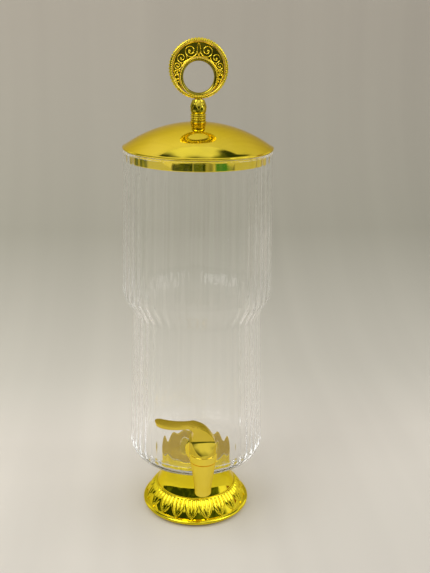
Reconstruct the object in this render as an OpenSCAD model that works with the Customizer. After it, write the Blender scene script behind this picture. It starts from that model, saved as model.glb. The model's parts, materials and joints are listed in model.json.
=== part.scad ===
// Glass drink dispenser: a fluted two-tier glass vessel on a gold pedestal foot,
// with a lift-off domed lid, a ring finial and a quarter-turn lever tap.
// Origin: middle of the resting face. Z is up and the tap points along -Y.

/* [Pedestal] */
// Largest radius of the foot
foot_r = 61; // [55:0.5:70]
// Radius where the fluted band ends at the top of the foot
foot_top_r = 44.6; // [42:0.1:48]
// Height of the fluted foot ring
foot_h = 26.6; // [22:0.1:32]
// Height of the plain polished edge below the fluted band
edge_h = 7.6; // [4:0.1:9]
// Number of flutes round the foot, three to each leaf
foot_flutes = 60; // [48:3:72]
// Depth of the flutes of the foot
foot_flute_depth = 1.3; // [0.6:0.1:2]
// Height of the seat plate's top above the table
seat_z = 64.9; // [60:0.1:72]
// Radius of the neck at its waist
neck_r = 39.3; // [36:0.1:40]
// Wall of the spun metal parts
sheet = 1.4; // [1:0.1:2]
// Thickness of the rubber pad under the foot
pad_t = 1; // [0.8:0.1:2]
// Radius of the tie rod
rod_r = 4; // [3:0.5:5]
// Thickness of the plate that closes the foot
bridge_t = 1.6; // [1.2:0.1:2.5]
// Thickness of the silicone cushion under the glass
cushion_t = 1.6; // [1:0.1:3]

/* [Glass vessel] */
// Height of the vessel
vessel_h = 342; // [330:1:360]
// Radius over the ribs just above the shoulder
upper_r = 80.2; // [78:0.1:84]
// Radius over the ribs just below the shoulder
waist_r = 69.4; // [66:0.1:73]
// Radius over the ribs above the rounded bottom corner
lower_r = 74.3; // [72:0.1:76]
// Height of the shoulder's lower end above the vessel's bottom
shoulder_z = 169; // [150:1:185]
// Height of the shoulder
shoulder_h = 27; // [20:1:40]
// Radius of the rounded bottom corner
corner_r = 19; // [12:1:24]
// Number of ribs round the vessel
ribs = 44; // [36:1:48]
// Depth of the grooves between the ribs
rib_depth = 1.2; // [0.6:0.1:1.6]
// Glass left behind the grooves
glass_wall = 2.8; // [2.2:0.1:3.6]
// Thickness of the glass bottom
glass_floor = 8; // [6:0.5:12]
// Radius of the drilled hole for the tap
tap_hole_r = 8.2; // [7:0.1:10]

/* [Lid] */
// Largest radius of the lid's rim
rim_r = 77.4; // [76:0.1:82]
// Radius of the dome's sphere
dome_sphere_r = 121; // [110:1:150]
// Height of the rolled rim
rim_t = 2.8; // [2:0.1:3.6]
// How far the rim reaches past the ribs at the mouth
rim_over = 0.7; // [0.3:0.1:2]
// Clearance between the collar and the glass
collar_gap = 0.5; // [0.3:0.1:2]
// How far the collar reaches below its flange
collar_h = 8.6; // [6:0.1:14]
// Thickness of the clear seal under the rim
seal_t = 1; // [0.6:0.1:1.6]

/* [Finial] */
// Height of the stem
stem_h = 23; // [20:0.1:30]
// Radius of the stem's belly
stem_r = 8.3; // [7:0.1:10]
// Outer radius of the ring
ring_r = 30; // [26:0.5:34]
// Radius of the finger hole
ring_hole_r = 15.4; // [13:0.1:17]
// How far the hole lies below the ring's middle
ring_hole_drop = 8; // [6:0.1:8.4]
// Thickness of the ring's borders
ring_t = 5.6; // [4:0.1:7]
// How far the rounded inside of the finger hole reaches
hole_round = 2.3; // [1:0.1:3]
// Width of the beaded outer border
border_w = 3.6; // [3:0.1:4.4]
// Width of the border round the finger hole
hole_border_w = 3.4; // [2.6:0.1:4]
// Thickness of the pierced crescent
filigree_t = 2.4; // [1.6:0.1:3]
// Thickness of the plate between the scrolls
ground_t = 1; // [0.8:0.1:1.4]
// Width of the scrolls of the crescent
scroll_w = 1.1; // [0.8:0.1:1.6]
// Beads along the outer edge
ring_beads = 56; // [40:1:64]
// Radius of the finial's fixing screw
finial_screw_r = 2.5; // [2:0.1:3]

/* [Tap] */
// Height of the tap's bore above the vessel's bottom
tap_rise = 42.1; // [36:0.1:60]
// Length of the tap's bare arm, between its flange and its valve
arm_len = 8.1546; // [3:0.0001:22]
// Radius of the raised band at the top of the tap body
band_r = 14.2; // [13:0.1:16]
// Height of the raised band
band_h = 8.4; // [8:0.1:14]
// Radius of the spout's lower end
spout_r = 8.5; // [7.5:0.1:11]
// Length of the spout below the bore's axis
spout_drop = 38.6; // [32:0.1:42]
// Radius of the spout's own bore
spout_bore_r = 6; // [4.5:0.1:6.5]
// Radius of the threaded shank that passes through the glass
shank_r = 7.9; // [6.5:0.1:9]
// Radius of the water passage in shank and plug
passage_r = 4.5; // [3:0.1:5]
// Radius of the valve plug
plug_r = 9.5; // [8.5:0.1:10]
// Running clearance round the plug and its stem
plug_gap = 0.05; // [0.03:0.01:0.08]
// Radius of the plug's stem
plug_stem_r = 5; // [4:0.1:6]
// Radius of the round flange against the glass
flange_r = 17; // [14:0.1:20]
// Thickness of the flange
flange_t = 2.5; // [2:0.1:4]
// Radius of the soft washers on both sides of the glass
washer_r = 14.5; // [12:0.1:16]
// Width of the lock nut across its flats
nut_af = 24; // [21:0.5:28]
// Thickness of the lock nut
nut_t = 7; // [5:0.5:9]

/* [Lever] */
// Radius of the lever's hub
hub_r = 13.9; // [12:0.1:15]
// Length of the lever from its axis to the tip
lever_len = 49; // [40:0.5:60]
// Height of the blade's top above the hub's foot
lever_h = 31.3; // [24:0.1:36]
// Thickness of the blade
blade_t = 2.8; // [2:0.1:4]
// Half width of the blade at its root
blade_w = 6.5; // [5:0.1:8]
// Half width of the blade near its tip
blade_tip_w = 7.6; // [6:0.1:9]
// How far the blade's tip curls up
tip_curl = 4.8; // [1:0.1:7]
// Depth of the thumb hollow near the tip
thumb_depth = 0.7; // [0.3:0.1:1]
// Height of the slanted front of the hub
slant_h = 13.4; // [8:0.1:15]
// Gap between the hub and the band below it
hub_gap = 0.3; // [0.2:0.05:0.6]

/* [Hidden] */

gold = "gold";
lemon_gold = "khaki";
steel = "silver";
clear = "lightcyan";
rubber = "dimgray";
silicone = "whitesmoke";

// Facets of round parts, and of small ones
round_fn = 96;
small_fn = 48;
// How far a cutting tool runs past the face it cuts
past = 1;
// Seat clearance between parts of one assembly
seat_gap = 0.05;
// Gap round the crescent that is set into the ring
inlay_gap = 0.15;

// Pedestal, from the table up
foot_z0 = pad_t;
ledge_z = 15.6;
ledge_r = foot_r - 10.6;
bridge_r = ledge_r - 0.3;
foot_bore_r = foot_top_r - 3.2;
rod_washer_t = 1.6;
rod_nut_t = 6.5;
rod_nut_af = 13;
seat_t = 2.4;
seat_r = neck_r + 0.6;
seat_lip_z = seat_z - seat_t;
vessel_z = seat_z + cushion_t;

// Vessel, heights measured from the table; its mouth follows the lid's rim
mouth_r = rim_r - rim_over;
corner_z = vessel_z + corner_r;
waist_z = vessel_z + shoulder_z;
upper_z = waist_z + shoulder_h;
mouth_z = vessel_z + vessel_h;
lip_fade = 8;
lip_round = 1.4;
rib_steps = 4;

// Lid, heights measured from the table
flange_under_z = mouth_z + seal_t;
collar_t = 0.9;
collar_r = mouth_r - rib_depth - glass_wall - collar_gap;
collar_flange_r = rim_r - 0.6 * rim_t;
rim_mid_z = flange_under_z + rim_t / 2;
// The dome's sphere meets the rolled rim at its outer side
dome_top_z = rim_mid_z + rim_t / 4 + dome_sphere_r
             - sqrt(pow(dome_sphere_r, 2) - pow(rim_r - rim_t / 3, 2));
stem_foot_r = stem_r - 0.1;
dome_flat_z = dome_top_z - dome_sphere_r
              + sqrt(pow(dome_sphere_r, 2) - pow(stem_foot_r, 2));
// Flat spot under the dome, where the finial's washer lies
finial_washer_r = 2.6 * finial_screw_r;
finial_washer_t = 1.2;
dome_in_r = dome_sphere_r - sheet;
dome_under_r = finial_washer_r + 0.3;
dome_under_z = dome_top_z - dome_sphere_r + sqrt(pow(dome_in_r, 2) - pow(dome_under_r, 2));

// Finial, heights measured from the table
stem_top_z = dome_flat_z + stem_h;
ring_z = stem_top_z + ring_r + 0.05;
hole_z = ring_z - ring_hole_drop;
peg_r = 2.4;
peg_len = 5;
stem_bead_r = 1;

// Tap, heights measured from the table
tap_z = vessel_z + tap_rise;
band_z = tap_z + 2.4;
band_top_z = band_z + band_h;
spout_z = tap_z - spout_drop;
chamber_z = tap_z - 11.6;
bonnet_t = 3.4;
plug_top_z = band_top_z - bonnet_t;
stem_end_z = band_top_z + hub_gap + 11.5;
thumb_r = 30;
hub_z = band_top_z + hub_gap;
flange_face_y = wall_r(tap_z) + 1.6;
body_face_y = flange_face_y + flange_t;
arm_r = 9.2;
boss_face_y = body_face_y + arm_len;
tap_reach = boss_face_y + 1 + band_r;
spigot_r = shank_r - 1.4;
spigot_end_y = tap_reach - plug_r - plug_gap - 0.4;
inner_face_y = wall_r(tap_z) - rib_depth - glass_wall - 4.2;
steel_washer_t = 1.5;
nut_face_y = inner_face_y - steel_washer_t;
shank_end_y = nut_face_y - nut_t - 5;

// Points on an arc from angle a0 to angle a1, in n steps
function arc(cx, cy, r, a0, a1, n) =
    [for (i = [0 : n]) [cx + r * cos(a0 + (a1 - a0) * i / n), cy + r * sin(a0 + (a1 - a0) * i / n)]];

// Straight and S-shaped blends between two values
function mix(a, b, t) = a + (b - a) * t;
function ease(a, b, t) = a + (b - a) * (1 - cos(180 * t)) / 2;

// Radius over the ribs at a height above the table
function wall_r(z) =
    z < corner_z ? lower_r - corner_r + sqrt(max(0, pow(corner_r, 2) - pow(corner_z - z, 2))) :
    z < waist_z ? mix(lower_r, waist_r, (z - corner_z) / (waist_z - corner_z)) :
    z < upper_z ? ease(waist_r, upper_r, (z - waist_z) / shoulder_h) :
    mix(upper_r, mouth_r, (z - upper_z) / (mouth_z - upper_z));

// Share of the rib depth at a height: the ribs run out at the mouth and at the bottom corner
function rib_share(z) =
    z > mouth_z - lip_fade ? max(0, (mouth_z - z) / lip_fade) :
    z < corner_z ? max(0, (z - vessel_z) / corner_r) : 1;

// Height of a rib's crest over its groove, for a place between 0 and 1 across the rib
function rib_crest(t) = pow(sin(180 * t), 0.8);

// Heights at which the outside of the vessel is drawn
corner_steps = 5;
shoulder_steps = 7;
vessel_levels = concat(
    [for (i = [0 : corner_steps]) corner_z - corner_r * cos(90 * i / corner_steps)],
    [for (i = [0 : shoulder_steps]) waist_z + shoulder_h * i / shoulder_steps],
    [mouth_z - lip_fade, mouth_z - lip_round]);

// One ring of points round a ribbed or fluted body
function ribbed_ring(r, z, depth, count, steps) =
    [for (k = [0 : count * steps - 1])
        let (a = 360 * k / (count * steps), rr = r - depth * (1 - rib_crest((k % steps) / steps)))
        [rr * cos(a), rr * sin(a), z]];

// Solid between stacked rings that have the same number of points
module loft(rings) {
    n = len(rings[0]);
    m = len(rings);
    side = [for (j = [0 : m - 2], i = [0 : n - 1], s = [0, 1])
        s == 0 ? [j * n + i, (j + 1) * n + i, (j + 1) * n + (i + 1) % n]
               : [j * n + i, (j + 1) * n + (i + 1) % n, j * n + (i + 1) % n]];
    bottom = [for (i = [0 : n - 1]) i];
    top = [for (i = [n - 1 : -1 : 0]) (m - 1) * n + i];
    polyhedron(points = [for (ring = rings) each ring], faces = concat(side, [bottom, top]));
}

// Solid of revolution from an outline of radius and height
module turned(points, fn = round_fn) {
    rotate_extrude($fn = fn)
        polygon(points);
}

// Round bar along -Y, from distance y0 to distance y1, on the tap's axis
module tap_bar(r, y0, y1, fn = small_fn) {
    translate([0, -y0, tap_z])
        rotate([90, 0, 0])
            cylinder(r = r, h = y1 - y0, $fn = fn);
}

// Upright bar on the spout's axis
module spout_bar(r, z0, z1, fn = small_fn) {
    translate([0, -tap_reach, z0])
        cylinder(r = r, h = z1 - z0, $fn = fn);
}

// Hexagonal nut with its bore, lying on the plane z = 0
module nut(af, t, bore_r) {
    difference() {
        cylinder(d = af / cos(30), h = t, $fn = 6);
        translate([0, 0, -past])
            cylinder(r = bore_r, h = t + 2 * past, $fn = small_fn);
    }
}

// Thin round rubber pad glued under the foot, which closes it
module foot_pad() {
    color(rubber)
        turned([[0, 0], [foot_r - 6.6, 0], [foot_r - 6.6, pad_t], [0, pad_t]]);
}

// Height of the foot's relief for a place between 0 and 1 across a leaf, and between 0 at the
// top of the band and 1 at the leaves' points: three flutes to a leaf, which run together below
function leaf_crest(u, t) =
    let (reach = 1 - pow(t, 2.6), across = abs(2 * u - 1))
    across < reach ? pow(abs(cos(270 * across / reach)), 0.7) : 0;

// One ring of points round the foot
function foot_ring_points(r, z, t) =
    [for (k = [0 : foot_leaves * leaf_steps - 1])
        let (a = 360 * k / (foot_leaves * leaf_steps),
             crest = t < 0 ? 1 : leaf_crest((k % leaf_steps) / leaf_steps, t),
             rr = r - foot_flute_depth * (1 - crest))
        [rr * cos(a), rr * sin(a), z]];
foot_leaves = round(foot_flutes / 3);
leaf_steps = 10;

// Outline of the foot: each entry is radius, height and place on the leaves, or -1 where it is plain
band_top = foot_h - 1;
band_low = edge_h + 0.6;
band_in = foot_r - 3.2;
function foot_band_r(t) = mix(foot_top_r + 0.8, band_in, t) + 1.9 * sin(180 * pow(t, 0.8));
foot_levels = concat(
    [[foot_r - 6, foot_z0, -1], [foot_r - 3, foot_z0 + 0.8, -1], [foot_r - 0.9, foot_z0 + 2.6, -1],
     [foot_r, edge_h - 2.4, -1], [foot_r - 0.5, edge_h - 0.9, -1], [foot_r - 2, edge_h, -1]],
    [for (i = [8 : -1 : 1]) let (t = i / 8.3)
        [foot_band_r(t), mix(band_top, band_low, t), t]],
    [[foot_top_r + 0.8, band_top, -1], [foot_top_r, foot_h, -1]]);

// Leafy foot ring, hollow underneath, with a ledge for the plate
module foot_ring() {
    color(lemon_gold)
        difference() {
            loft([for (l = foot_levels) foot_ring_points(l[0], l[1], l[2])]);
            turned([[0, 0], [foot_r - 10, 0], [foot_r - 10, 10], [ledge_r, 12], [ledge_r, ledge_z],
                    [ledge_r - 3.4, ledge_z], [foot_bore_r, foot_h - 4], [foot_bore_r, foot_h + past],
                    [0, foot_h + past]]);
        }
}

// Smooth spun neck: a flange on the foot ring, a concave wall and a lip under the seat plate
module neck() {
    cove_r = foot_top_r - 0.4 - neck_r;
    flare = seat_r - neck_r;
    wall_z = foot_h + 1 + cove_r * 1.8;
    cove = [for (i = [0 : 8]) let (a = 90 * i / 8)
        [neck_r + cove_r * (1 - sin(a)), foot_h + 1 + cove_r * 1.8 * (1 - cos(a))]];
    bell = [for (i = [0 : 6]) let (t = i / 6)
        [neck_r + flare * t * t, mix(wall_z + 12, seat_lip_z, t)]];
    color(gold)
        turned(concat(
            [[foot_bore_r - 0.3 - sheet, foot_h - 4], [foot_bore_r - 0.3, foot_h - 4],
             [foot_bore_r - 0.3, foot_h], [foot_top_r - 0.4, foot_h]],
            cove, bell,
            [[seat_r - 9, seat_lip_z], [seat_r - 9, seat_lip_z - sheet],
             [seat_r - sheet - 1, seat_lip_z - sheet], [neck_r - sheet, wall_z + 12],
             [neck_r - sheet, wall_z - 1]]));
}

// Flat plate that closes the foot and takes the rod's pull against the ledge
module bridge_plate() {
    color(steel)
        turned([[rod_r + 0.3, ledge_z - bridge_t], [bridge_r, ledge_z - bridge_t],
                [bridge_r, ledge_z], [rod_r + 0.3, ledge_z]]);
}

// Plate that carries the vessel, lying on the neck's lip
module seat_plate() {
    color(steel)
        turned([[rod_r + seat_gap, seat_lip_z], [seat_r, seat_lip_z], [seat_r, seat_z - 0.6],
                [seat_r - 0.6, seat_z], [rod_r + seat_gap, seat_z]]);
}

// Tie rod from the seat plate to the nut inside the foot
module tie_rod() {
    color(steel)
        cylinder_between(rod_r, ledge_z - bridge_t - rod_washer_t - rod_nut_t - 2, seat_z - 0.4);
}

// Plain upright bar on the main axis
module cylinder_between(r, z0, z1) {
    translate([0, 0, z0])
        cylinder(r = r, h = z1 - z0, $fn = small_fn);
}

module rod_washer() {
    z = ledge_z - bridge_t - rod_washer_t;
    color(steel)
        turned([[rod_r + 0.2, z], [2 * rod_r + 1, z], [2 * rod_r + 1, z + rod_washer_t],
                [rod_r + 0.2, z + rod_washer_t]], small_fn);
}

module rod_nut() {
    color(steel)
        translate([0, 0, ledge_z - bridge_t - rod_washer_t - rod_nut_t])
            nut(rod_nut_af, rod_nut_t, rod_r + seat_gap);
}

// Clear silicone ring that the glass stands and is bonded on
module seat_cushion() {
    color(silicone)
        turned([[seat_r - 18, seat_z], [seat_r - 1.2, seat_z], [seat_r - 1.2, vessel_z],
                [seat_r - 18, vessel_z]]);
}

// Inside of the vessel, drawn as one turned cutter
module vessel_cavity() {
    inset = rib_depth + glass_wall;
    floor_z = vessel_z + glass_floor;
    in_corner = corner_r - glass_wall - 3;
    bottom_r = lower_r - inset;
    turned(concat(
        [[0, floor_z]],
        arc(bottom_r - in_corner, floor_z + in_corner, in_corner, -90, 0, 8),
        [for (i = [0 : shoulder_steps]) let (z = waist_z + shoulder_h * i / shoulder_steps)
            [wall_r(z) - inset, z]],
        [[mouth_r - inset, mouth_z - lip_round], [mouth_r - inset + 0.4, mouth_z + past],
         [0, mouth_z + past]]));
}

// Two-tier vessel with soft vertical ribs that follow the shoulder
module glass_vessel() {
    lip_r = mouth_r - rib_depth;
    color(clear)
        difference() {
            loft(concat(
                [for (z = vessel_levels)
                    ribbed_ring(wall_r(z), z, rib_depth * rib_share(z), ribs, rib_steps)],
                [ribbed_ring(lip_r, mouth_z, 0, ribs, rib_steps)]));
            vessel_cavity();
            tap_bar(tap_hole_r, 0.6 * lower_r, lower_r + 2 * past);
        }
}

// Tap body: raised band, tapered spout and a short boss, with its water way and valve chamber
module tap_body() {
    neck_z = band_z - 1;
    color(gold)
        difference() {
            union() {
                translate([0, -tap_reach, 0])
                    turned(concat(
                        [[0, spout_z]],
                        arc(spout_r - 1.6, spout_z + 1.6, 1.6, -90, 0, 5),
                        [[spout_r + 0.5, spout_z + 12], [band_r - 0.6, neck_z],
                         [band_r, neck_z + 0.8], [band_r, band_top_z - 0.6],
                         [band_r - 0.6, band_top_z], [0, band_top_z]]), 64);
                tap_bar(arm_r, boss_face_y, tap_reach);
            }
            spout_bar(plug_r + plug_gap, chamber_z, band_top_z + past);
            spout_bar(spout_bore_r, spout_z - past, chamber_z + past);
            tap_bar(spigot_r + seat_gap, boss_face_y - past, tap_reach - plug_r / 2);
        }
}

// Threaded shank with its arm and the spigot that is screwed into the tap body's boss
module tap_shank() {
    color(gold)
        difference() {
            union() {
                tap_bar(arm_r, body_face_y, boss_face_y);
                tap_bar(spigot_r, boss_face_y - past, spigot_end_y);
                tap_bar(shank_r, shank_end_y, body_face_y + past);
            }
            tap_bar(passage_r, shank_end_y - past, spigot_end_y + past);
        }
}

// Round flange with a softened front edge
module tap_flange() {
    color(gold)
        translate([0, -flange_face_y, tap_z])
            rotate([90, 0, 0])
                turned([[shank_r + 0.1, 0], [flange_r, 0], [flange_r, flange_t - 1.4],
                        [flange_r - 0.5, flange_t - 0.5], [flange_r - 1.6, flange_t],
                        [shank_r + 0.1, flange_t]], 64);
}

// Outside of the ribs near the tap, as a smooth body that the washers are shaped to
module rib_envelope(grow) {
    reach = washer_r + 4;
    turned([[0, tap_z - reach], [wall_r(tap_z - reach) + grow, tap_z - reach],
            [wall_r(tap_z + reach) + grow, tap_z + reach], [0, tap_z + reach]], 4 * round_fn);
}

// Soft washer outside the glass, hollowed to the vessel's curve
module outer_washer() {
    color(silicone)
        difference() {
            tap_bar(washer_r, flange_face_y - 5, flange_face_y);
            tap_bar(shank_r + 0.15, flange_face_y - 6, flange_face_y + past);
            rib_envelope(0.1);
        }
}

// Soft washer inside the glass, rounded to the vessel's curve
module inner_washer() {
    color(silicone)
        intersection() {
            difference() {
                tap_bar(washer_r, inner_face_y, inner_face_y + 6);
                tap_bar(shank_r + 0.15, inner_face_y - past, inner_face_y + 7);
            }
            rib_envelope(-rib_depth - glass_wall - 0.1);
        }
}

module steel_washer() {
    color(steel)
        difference() {
            tap_bar(washer_r - 0.5, nut_face_y, inner_face_y);
            tap_bar(shank_r + 0.15, nut_face_y - past, inner_face_y + past);
        }
}

module lock_nut() {
    color(steel)
        translate([0, -nut_face_y, tap_z])
            rotate([-90, 30, 0])
                nut(nut_af, nut_t, shank_r + seat_gap);
}

// Threaded ring that keeps the plug down in its chamber
module bonnet_nut() {
    color(steel)
        difference() {
            spout_bar(plug_r, plug_top_z + 0.05, band_top_z - 0.1);
            spout_bar(plug_stem_r + plug_gap, plug_top_z - past, band_top_z + past);
        }
}

// Valve plug with its stem and an L-shaped way: the side port faces +X while the tap is shut
module valve_plug() {
    port_z = tap_z;
    color(steel)
        difference() {
            union() {
                spout_bar(plug_r, chamber_z + 0.1, plug_top_z - 0.05);
                spout_bar(plug_stem_r, plug_top_z - past, stem_end_z);
            }
            spout_bar(passage_r, chamber_z - past, port_z);
            translate([0, -tap_reach, port_z])
                rotate([0, 90, 0])
                    cylinder(r = passage_r, h = plug_r + past, $fn = small_fn);
            for (z = seal_heights())
                translate([0, -tap_reach, z])
                    turned([[plug_r - 1.3, -0.75], [plug_r + past, -0.75], [plug_r + past, 0.75],
                            [plug_r - 1.3, 0.75]], small_fn);
        }
}

// Heights of the two rubber rings on the plug
function seal_heights() = [tap_z - passage_r - 2.6, tap_z + passage_r + 1.6];

// Two rubber rings in the plug's grooves
module plug_seals() {
    color(rubber)
        translate([0, -tap_reach, 0])
            for (z = seal_heights())
                translate([0, 0, z])
                    rotate_extrude($fn = small_fn)
                        translate([plug_r - 0.65, 0])
                            circle(r = 0.62, $fn = 24);
}

// Side outline of the lever seen from the front: hub, swept back and blade
module lever_side() {
    root_x = -hub_r - 0.7;
    sweep_r = hub_r - root_x;
    top = lever_h;
    under = top - blade_t;
    fillet_r = 0.6 * hub_r;
    polygon(concat(
        [[hub_r, 0]],
        [for (i = [1 : 12]) let (a = 90 * i / 12) [root_x + sweep_r * cos(a), top * sin(a)]],
        [for (i = [1 : 8]) let (t = i / 8) [mix(root_x, -lever_len, t), top + blade_bend(t)]],
        [for (i = [7 : -1 : 0]) let (t = i / 8) [mix(root_x - 3, -lever_len, t), under + blade_bend(t)]],
        arc(root_x - 3, under - fillet_r, fillet_r, 90, 24, 5),
        [[-hub_r + 2.2, slant_h + 1.5], [-hub_r, slant_h - 1], [-hub_r, 0]]));
}

// Rise of the blade between its root and its tip
function blade_bend(t) = tip_curl * t * t - 0.8 * sin(180 * t);

// Front-to-back outline: slanted front and back of the hub, then the upright root
module lever_end() {
    w = blade_tip_w + 0.4;
    polygon([[hub_r + past, 0], [hub_r, 0.4], [blade_w, slant_h], [blade_w, slant_h + 6],
             [w, slant_h + 12], [w, lever_h + 6], [-w, lever_h + 6], [-w, slant_h + 12],
             [-blade_w, slant_h + 6], [-blade_w, slant_h], [-hub_r, 0.4], [-hub_r - past, 0]]);
}

// Outline from above: round hub and a leaf-shaped blade
module lever_plan() {
    circle(r = hub_r, $fn = 64);
    tip_x = -lever_len + blade_tip_w;
    polygon(concat(
        [[0, -blade_w], [0, blade_w], [-hub_r, blade_w]],
        [for (i = [1 : 6]) let (t = i / 6) [mix(-hub_r, tip_x, t), ease(blade_w, blade_tip_w, t)]],
        [for (i = [1 : 11]) let (a = 90 + 180 * i / 12)
            [tip_x + blade_tip_w * cos(a), blade_tip_w * sin(a)]],
        [for (i = [6 : -1 : 1]) let (t = i / 6) [mix(-hub_r, tip_x, t), -ease(blade_w, blade_tip_w, t)]],
        [[-hub_r, -blade_w]]));
}

// Lever: the common part of its three outlines, with a socket for the stem and a thumb hollow
module tap_lever() {
    color(gold)
        translate([0, -tap_reach, hub_z])
            difference() {
                intersection() {
                    rotate([90, 0, 0])
                        translate([0, 0, -hub_r - past])
                            linear_extrude(height = 2 * (hub_r + past))
                                lever_side();
                    rotate([90, 0, 90])
                        translate([0, 0, -lever_len - past])
                            linear_extrude(height = lever_len + hub_r + 2 * past)
                                lever_end();
                    linear_extrude(height = lever_h + 6)
                        lever_plan();
                }
                translate([0, 0, -past])
                    cylinder(r = plug_stem_r + seat_gap, h = stem_end_z - hub_z + past + 0.2, $fn = small_fn);
                translate([0, 0, 4.5])
                    rotate([-90, 0, 0])
                        cylinder(r = 1.5 + seat_gap, h = hub_r + past, $fn = 24);
                translate([-lever_len + 1.5 * blade_tip_w, 0, 0])
                    rotate([0, 10, 0])
                        translate([0, 0, lever_h + 3.4 - thumb_depth + thumb_r])
                            sphere(r = thumb_r, $fn = 96);
            }
}

// Small screw that locks the lever on the stem, reached from behind
module lever_screw() {
    color(steel)
        translate([0, -tap_reach, hub_z + 4.5])
            rotate([-90, 0, 0])
                translate([0, 0, plug_stem_r + 0.05])
                    cylinder(r = 1.5, h = 4.6, $fn = 24);
}

// Spun dome with a rolled rim and a flat spot for the stem
module lid_dome() {
    centre_z = dome_top_z - dome_sphere_r;
    hole = finial_screw_r + 0.2;
    rim_mid_r = rim_r - rim_t / 2;
    a_flat = acos(stem_foot_r / dome_sphere_r);
    a_rim = acos((rim_r - rim_t / 3) / dome_sphere_r);
    in_rim = acos((collar_flange_r - sheet) / dome_in_r);
    a_under = acos(dome_under_r / dome_in_r);
    color(gold)
        turned(concat(
            [[hole, dome_flat_z]],
            arc(0, centre_z, dome_sphere_r, a_flat, a_rim, 24),
            arc(rim_mid_r, rim_mid_z, rim_t / 2, 24, -90, 8),
            [[collar_flange_r + 0.1, rim_mid_z - rim_t / 2],
             [collar_flange_r + 0.1, flange_under_z + collar_t]],
            [[collar_flange_r - sheet, flange_under_z + collar_t]],
            arc(0, centre_z, dome_in_r, in_rim, a_under, 20),
            [[hole, dome_under_z]]));
}

// Collar that centres the lid in the mouth, with a flange held in the rim
module lid_collar() {
    low_z = flange_under_z - collar_h;
    color(gold)
        turned([[collar_r - 0.5, low_z], [collar_r, low_z + 0.5], [collar_r, flange_under_z],
                [collar_flange_r, flange_under_z], [collar_flange_r, flange_under_z + collar_t],
                [collar_r - 1.2, flange_under_z + collar_t], [collar_r - 1.2, low_z]]);
}

// Clear seal between the collar's flange and the glass
module lid_seal() {
    color(silicone)
        turned([[collar_r + 0.1, mouth_z + 0.1], [mouth_r - rib_depth, mouth_z + 0.1],
                [mouth_r - rib_depth, flange_under_z], [collar_r + 0.1, flange_under_z]]);
}

// Radius of the stem's belly and neck at a height above the stem's foot
bead_zone = 9;
stem_waist = stem_r - 1.6;
stem_neck_r = 4.9;
function belly_r(z) = let (t = max(0, (z - bead_zone) / (stem_h - bead_zone)))
    mix(stem_waist, stem_neck_r, t) + (stem_r - stem_waist * 0.96) * sin(180 * pow(t, 0.7));

// Turned stem: foot bead, small beads, a belly and a slim neck
module finial_stem() {
    beads = [for (i = [0 : 2], p = arc(stem_waist, 3.2 + 2.3 * i, stem_bead_r, -80, 80, 5)) p];
    belly = [for (i = [0 : 10]) let (z = mix(bead_zone, stem_h, i / 10)) [belly_r(z), z]];
    color(gold)
        translate([0, 0, dome_flat_z])
            difference() {
                turned(concat(
                    [[0, 0], [stem_foot_r - 0.4, 0], [stem_foot_r, 0.5], [stem_foot_r, 1.3],
                     [stem_waist + 0.6, 1.9]],
                    beads, belly, [[0, stem_h]]), 64);
                translate([0, 0, -past])
                    cylinder(r = finial_screw_r + seat_gap, h = 11 + past, $fn = small_fn);
                translate([0, 0, stem_h - peg_len])
                    cylinder(r = peg_r + seat_gap, h = peg_len + past, $fn = small_fn);
            }
}

// Collar at the stem's neck with pointed leaves that hang over the belly
module finial_calyx() {
    leaves = 6;
    leaf_h = 10.6;
    leaf_t = 0.7;
    low_z = stem_h - leaf_h;
    outside = [for (i = [0 : 6]) let (z = mix(low_z, stem_h - 0.3, i / 6))
        [belly_r(z) + seat_gap + leaf_t * min(1, 0.35 + i / 4), z]];
    inside = [for (i = [6 : -1 : 0]) let (z = mix(low_z, stem_h - 0.3, i / 6))
        [belly_r(z) + seat_gap, z]];
    notch_w = PI * belly_r(low_z) / leaves + 0.2;
    color(gold)
        translate([0, 0, dome_flat_z])
            difference() {
                turned(concat(outside, inside), small_fn);
                for (i = [0 : leaves - 1])
                    rotate([90, 0, 360 * (i + 0.5) / leaves])
                        linear_extrude(height = 2 * stem_r)
                            polygon([[-notch_w, low_z - 0.5], [notch_w, low_z - 0.5],
                                     [0, low_z + 0.72 * leaf_h]]);
            }
}

// Chamfered ring outline, turned about the viewing direction of the ring
module border(r_in, r_out) {
    c = 0.9;
    h = ring_t / 2;
    rotate([90, 0, 0])
        turned([[r_in + c, -h], [r_out - c, -h], [r_out, -h + c], [r_out, h - c], [r_out - c, h],
                [r_in + c, h], [r_in, h - c], [r_in, -h + c]], 72);
}

// Border round the finger hole, half round on its inner side
module hole_border() {
    h = ring_t / 2;
    c = 0.5;
    r_out = ring_hole_r + hole_border_w;
    rotate([90, 0, 0])
        turned(concat(
            [for (i = [0 : 8]) let (a = -90 + 180 * i / 8)
                [ring_hole_r + hole_round * (1 - cos(a)), h * sin(a)]],
            [[r_out - c, h], [r_out, h - c], [r_out, c - h], [r_out - c, -h]]), 72);
}

// Ring frame: a beaded outer border, a border round the low-set hole, and a peg into the stem
module finial_ring() {
    border_r = ring_r - border_w;
    bead_r = PI * ring_r / ring_beads * 0.86;
    color(gold) {
        difference() {
            union() {
                translate([0, 0, ring_z])
                    border(border_r, ring_r - bead_r * 0.5);
                translate([0, 0, hole_z])
                    hole_border();
                translate([0, 0, ring_z])
                    rotate([90, 0, 0])
                        linear_extrude(height = ring_t * 0.45, center = true)
                            difference() {
                                beaded_disc(ring_r - bead_r, bead_r, ring_beads);
                                circle(r = ring_r - 2 * bead_r, $fn = 72);
                            }
                translate([0, 0, stem_top_z - peg_len + 0.2])
                    cylinder(r = peg_r, h = peg_len + 3, $fn = small_fn);
            }
            translate([0, 0, hole_z])
                rotate([90, 0, 0])
                    cylinder(r = ring_hole_r, h = ring_t + 2 * past, center = true, $fn = 72);
        }
    }
}

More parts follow.
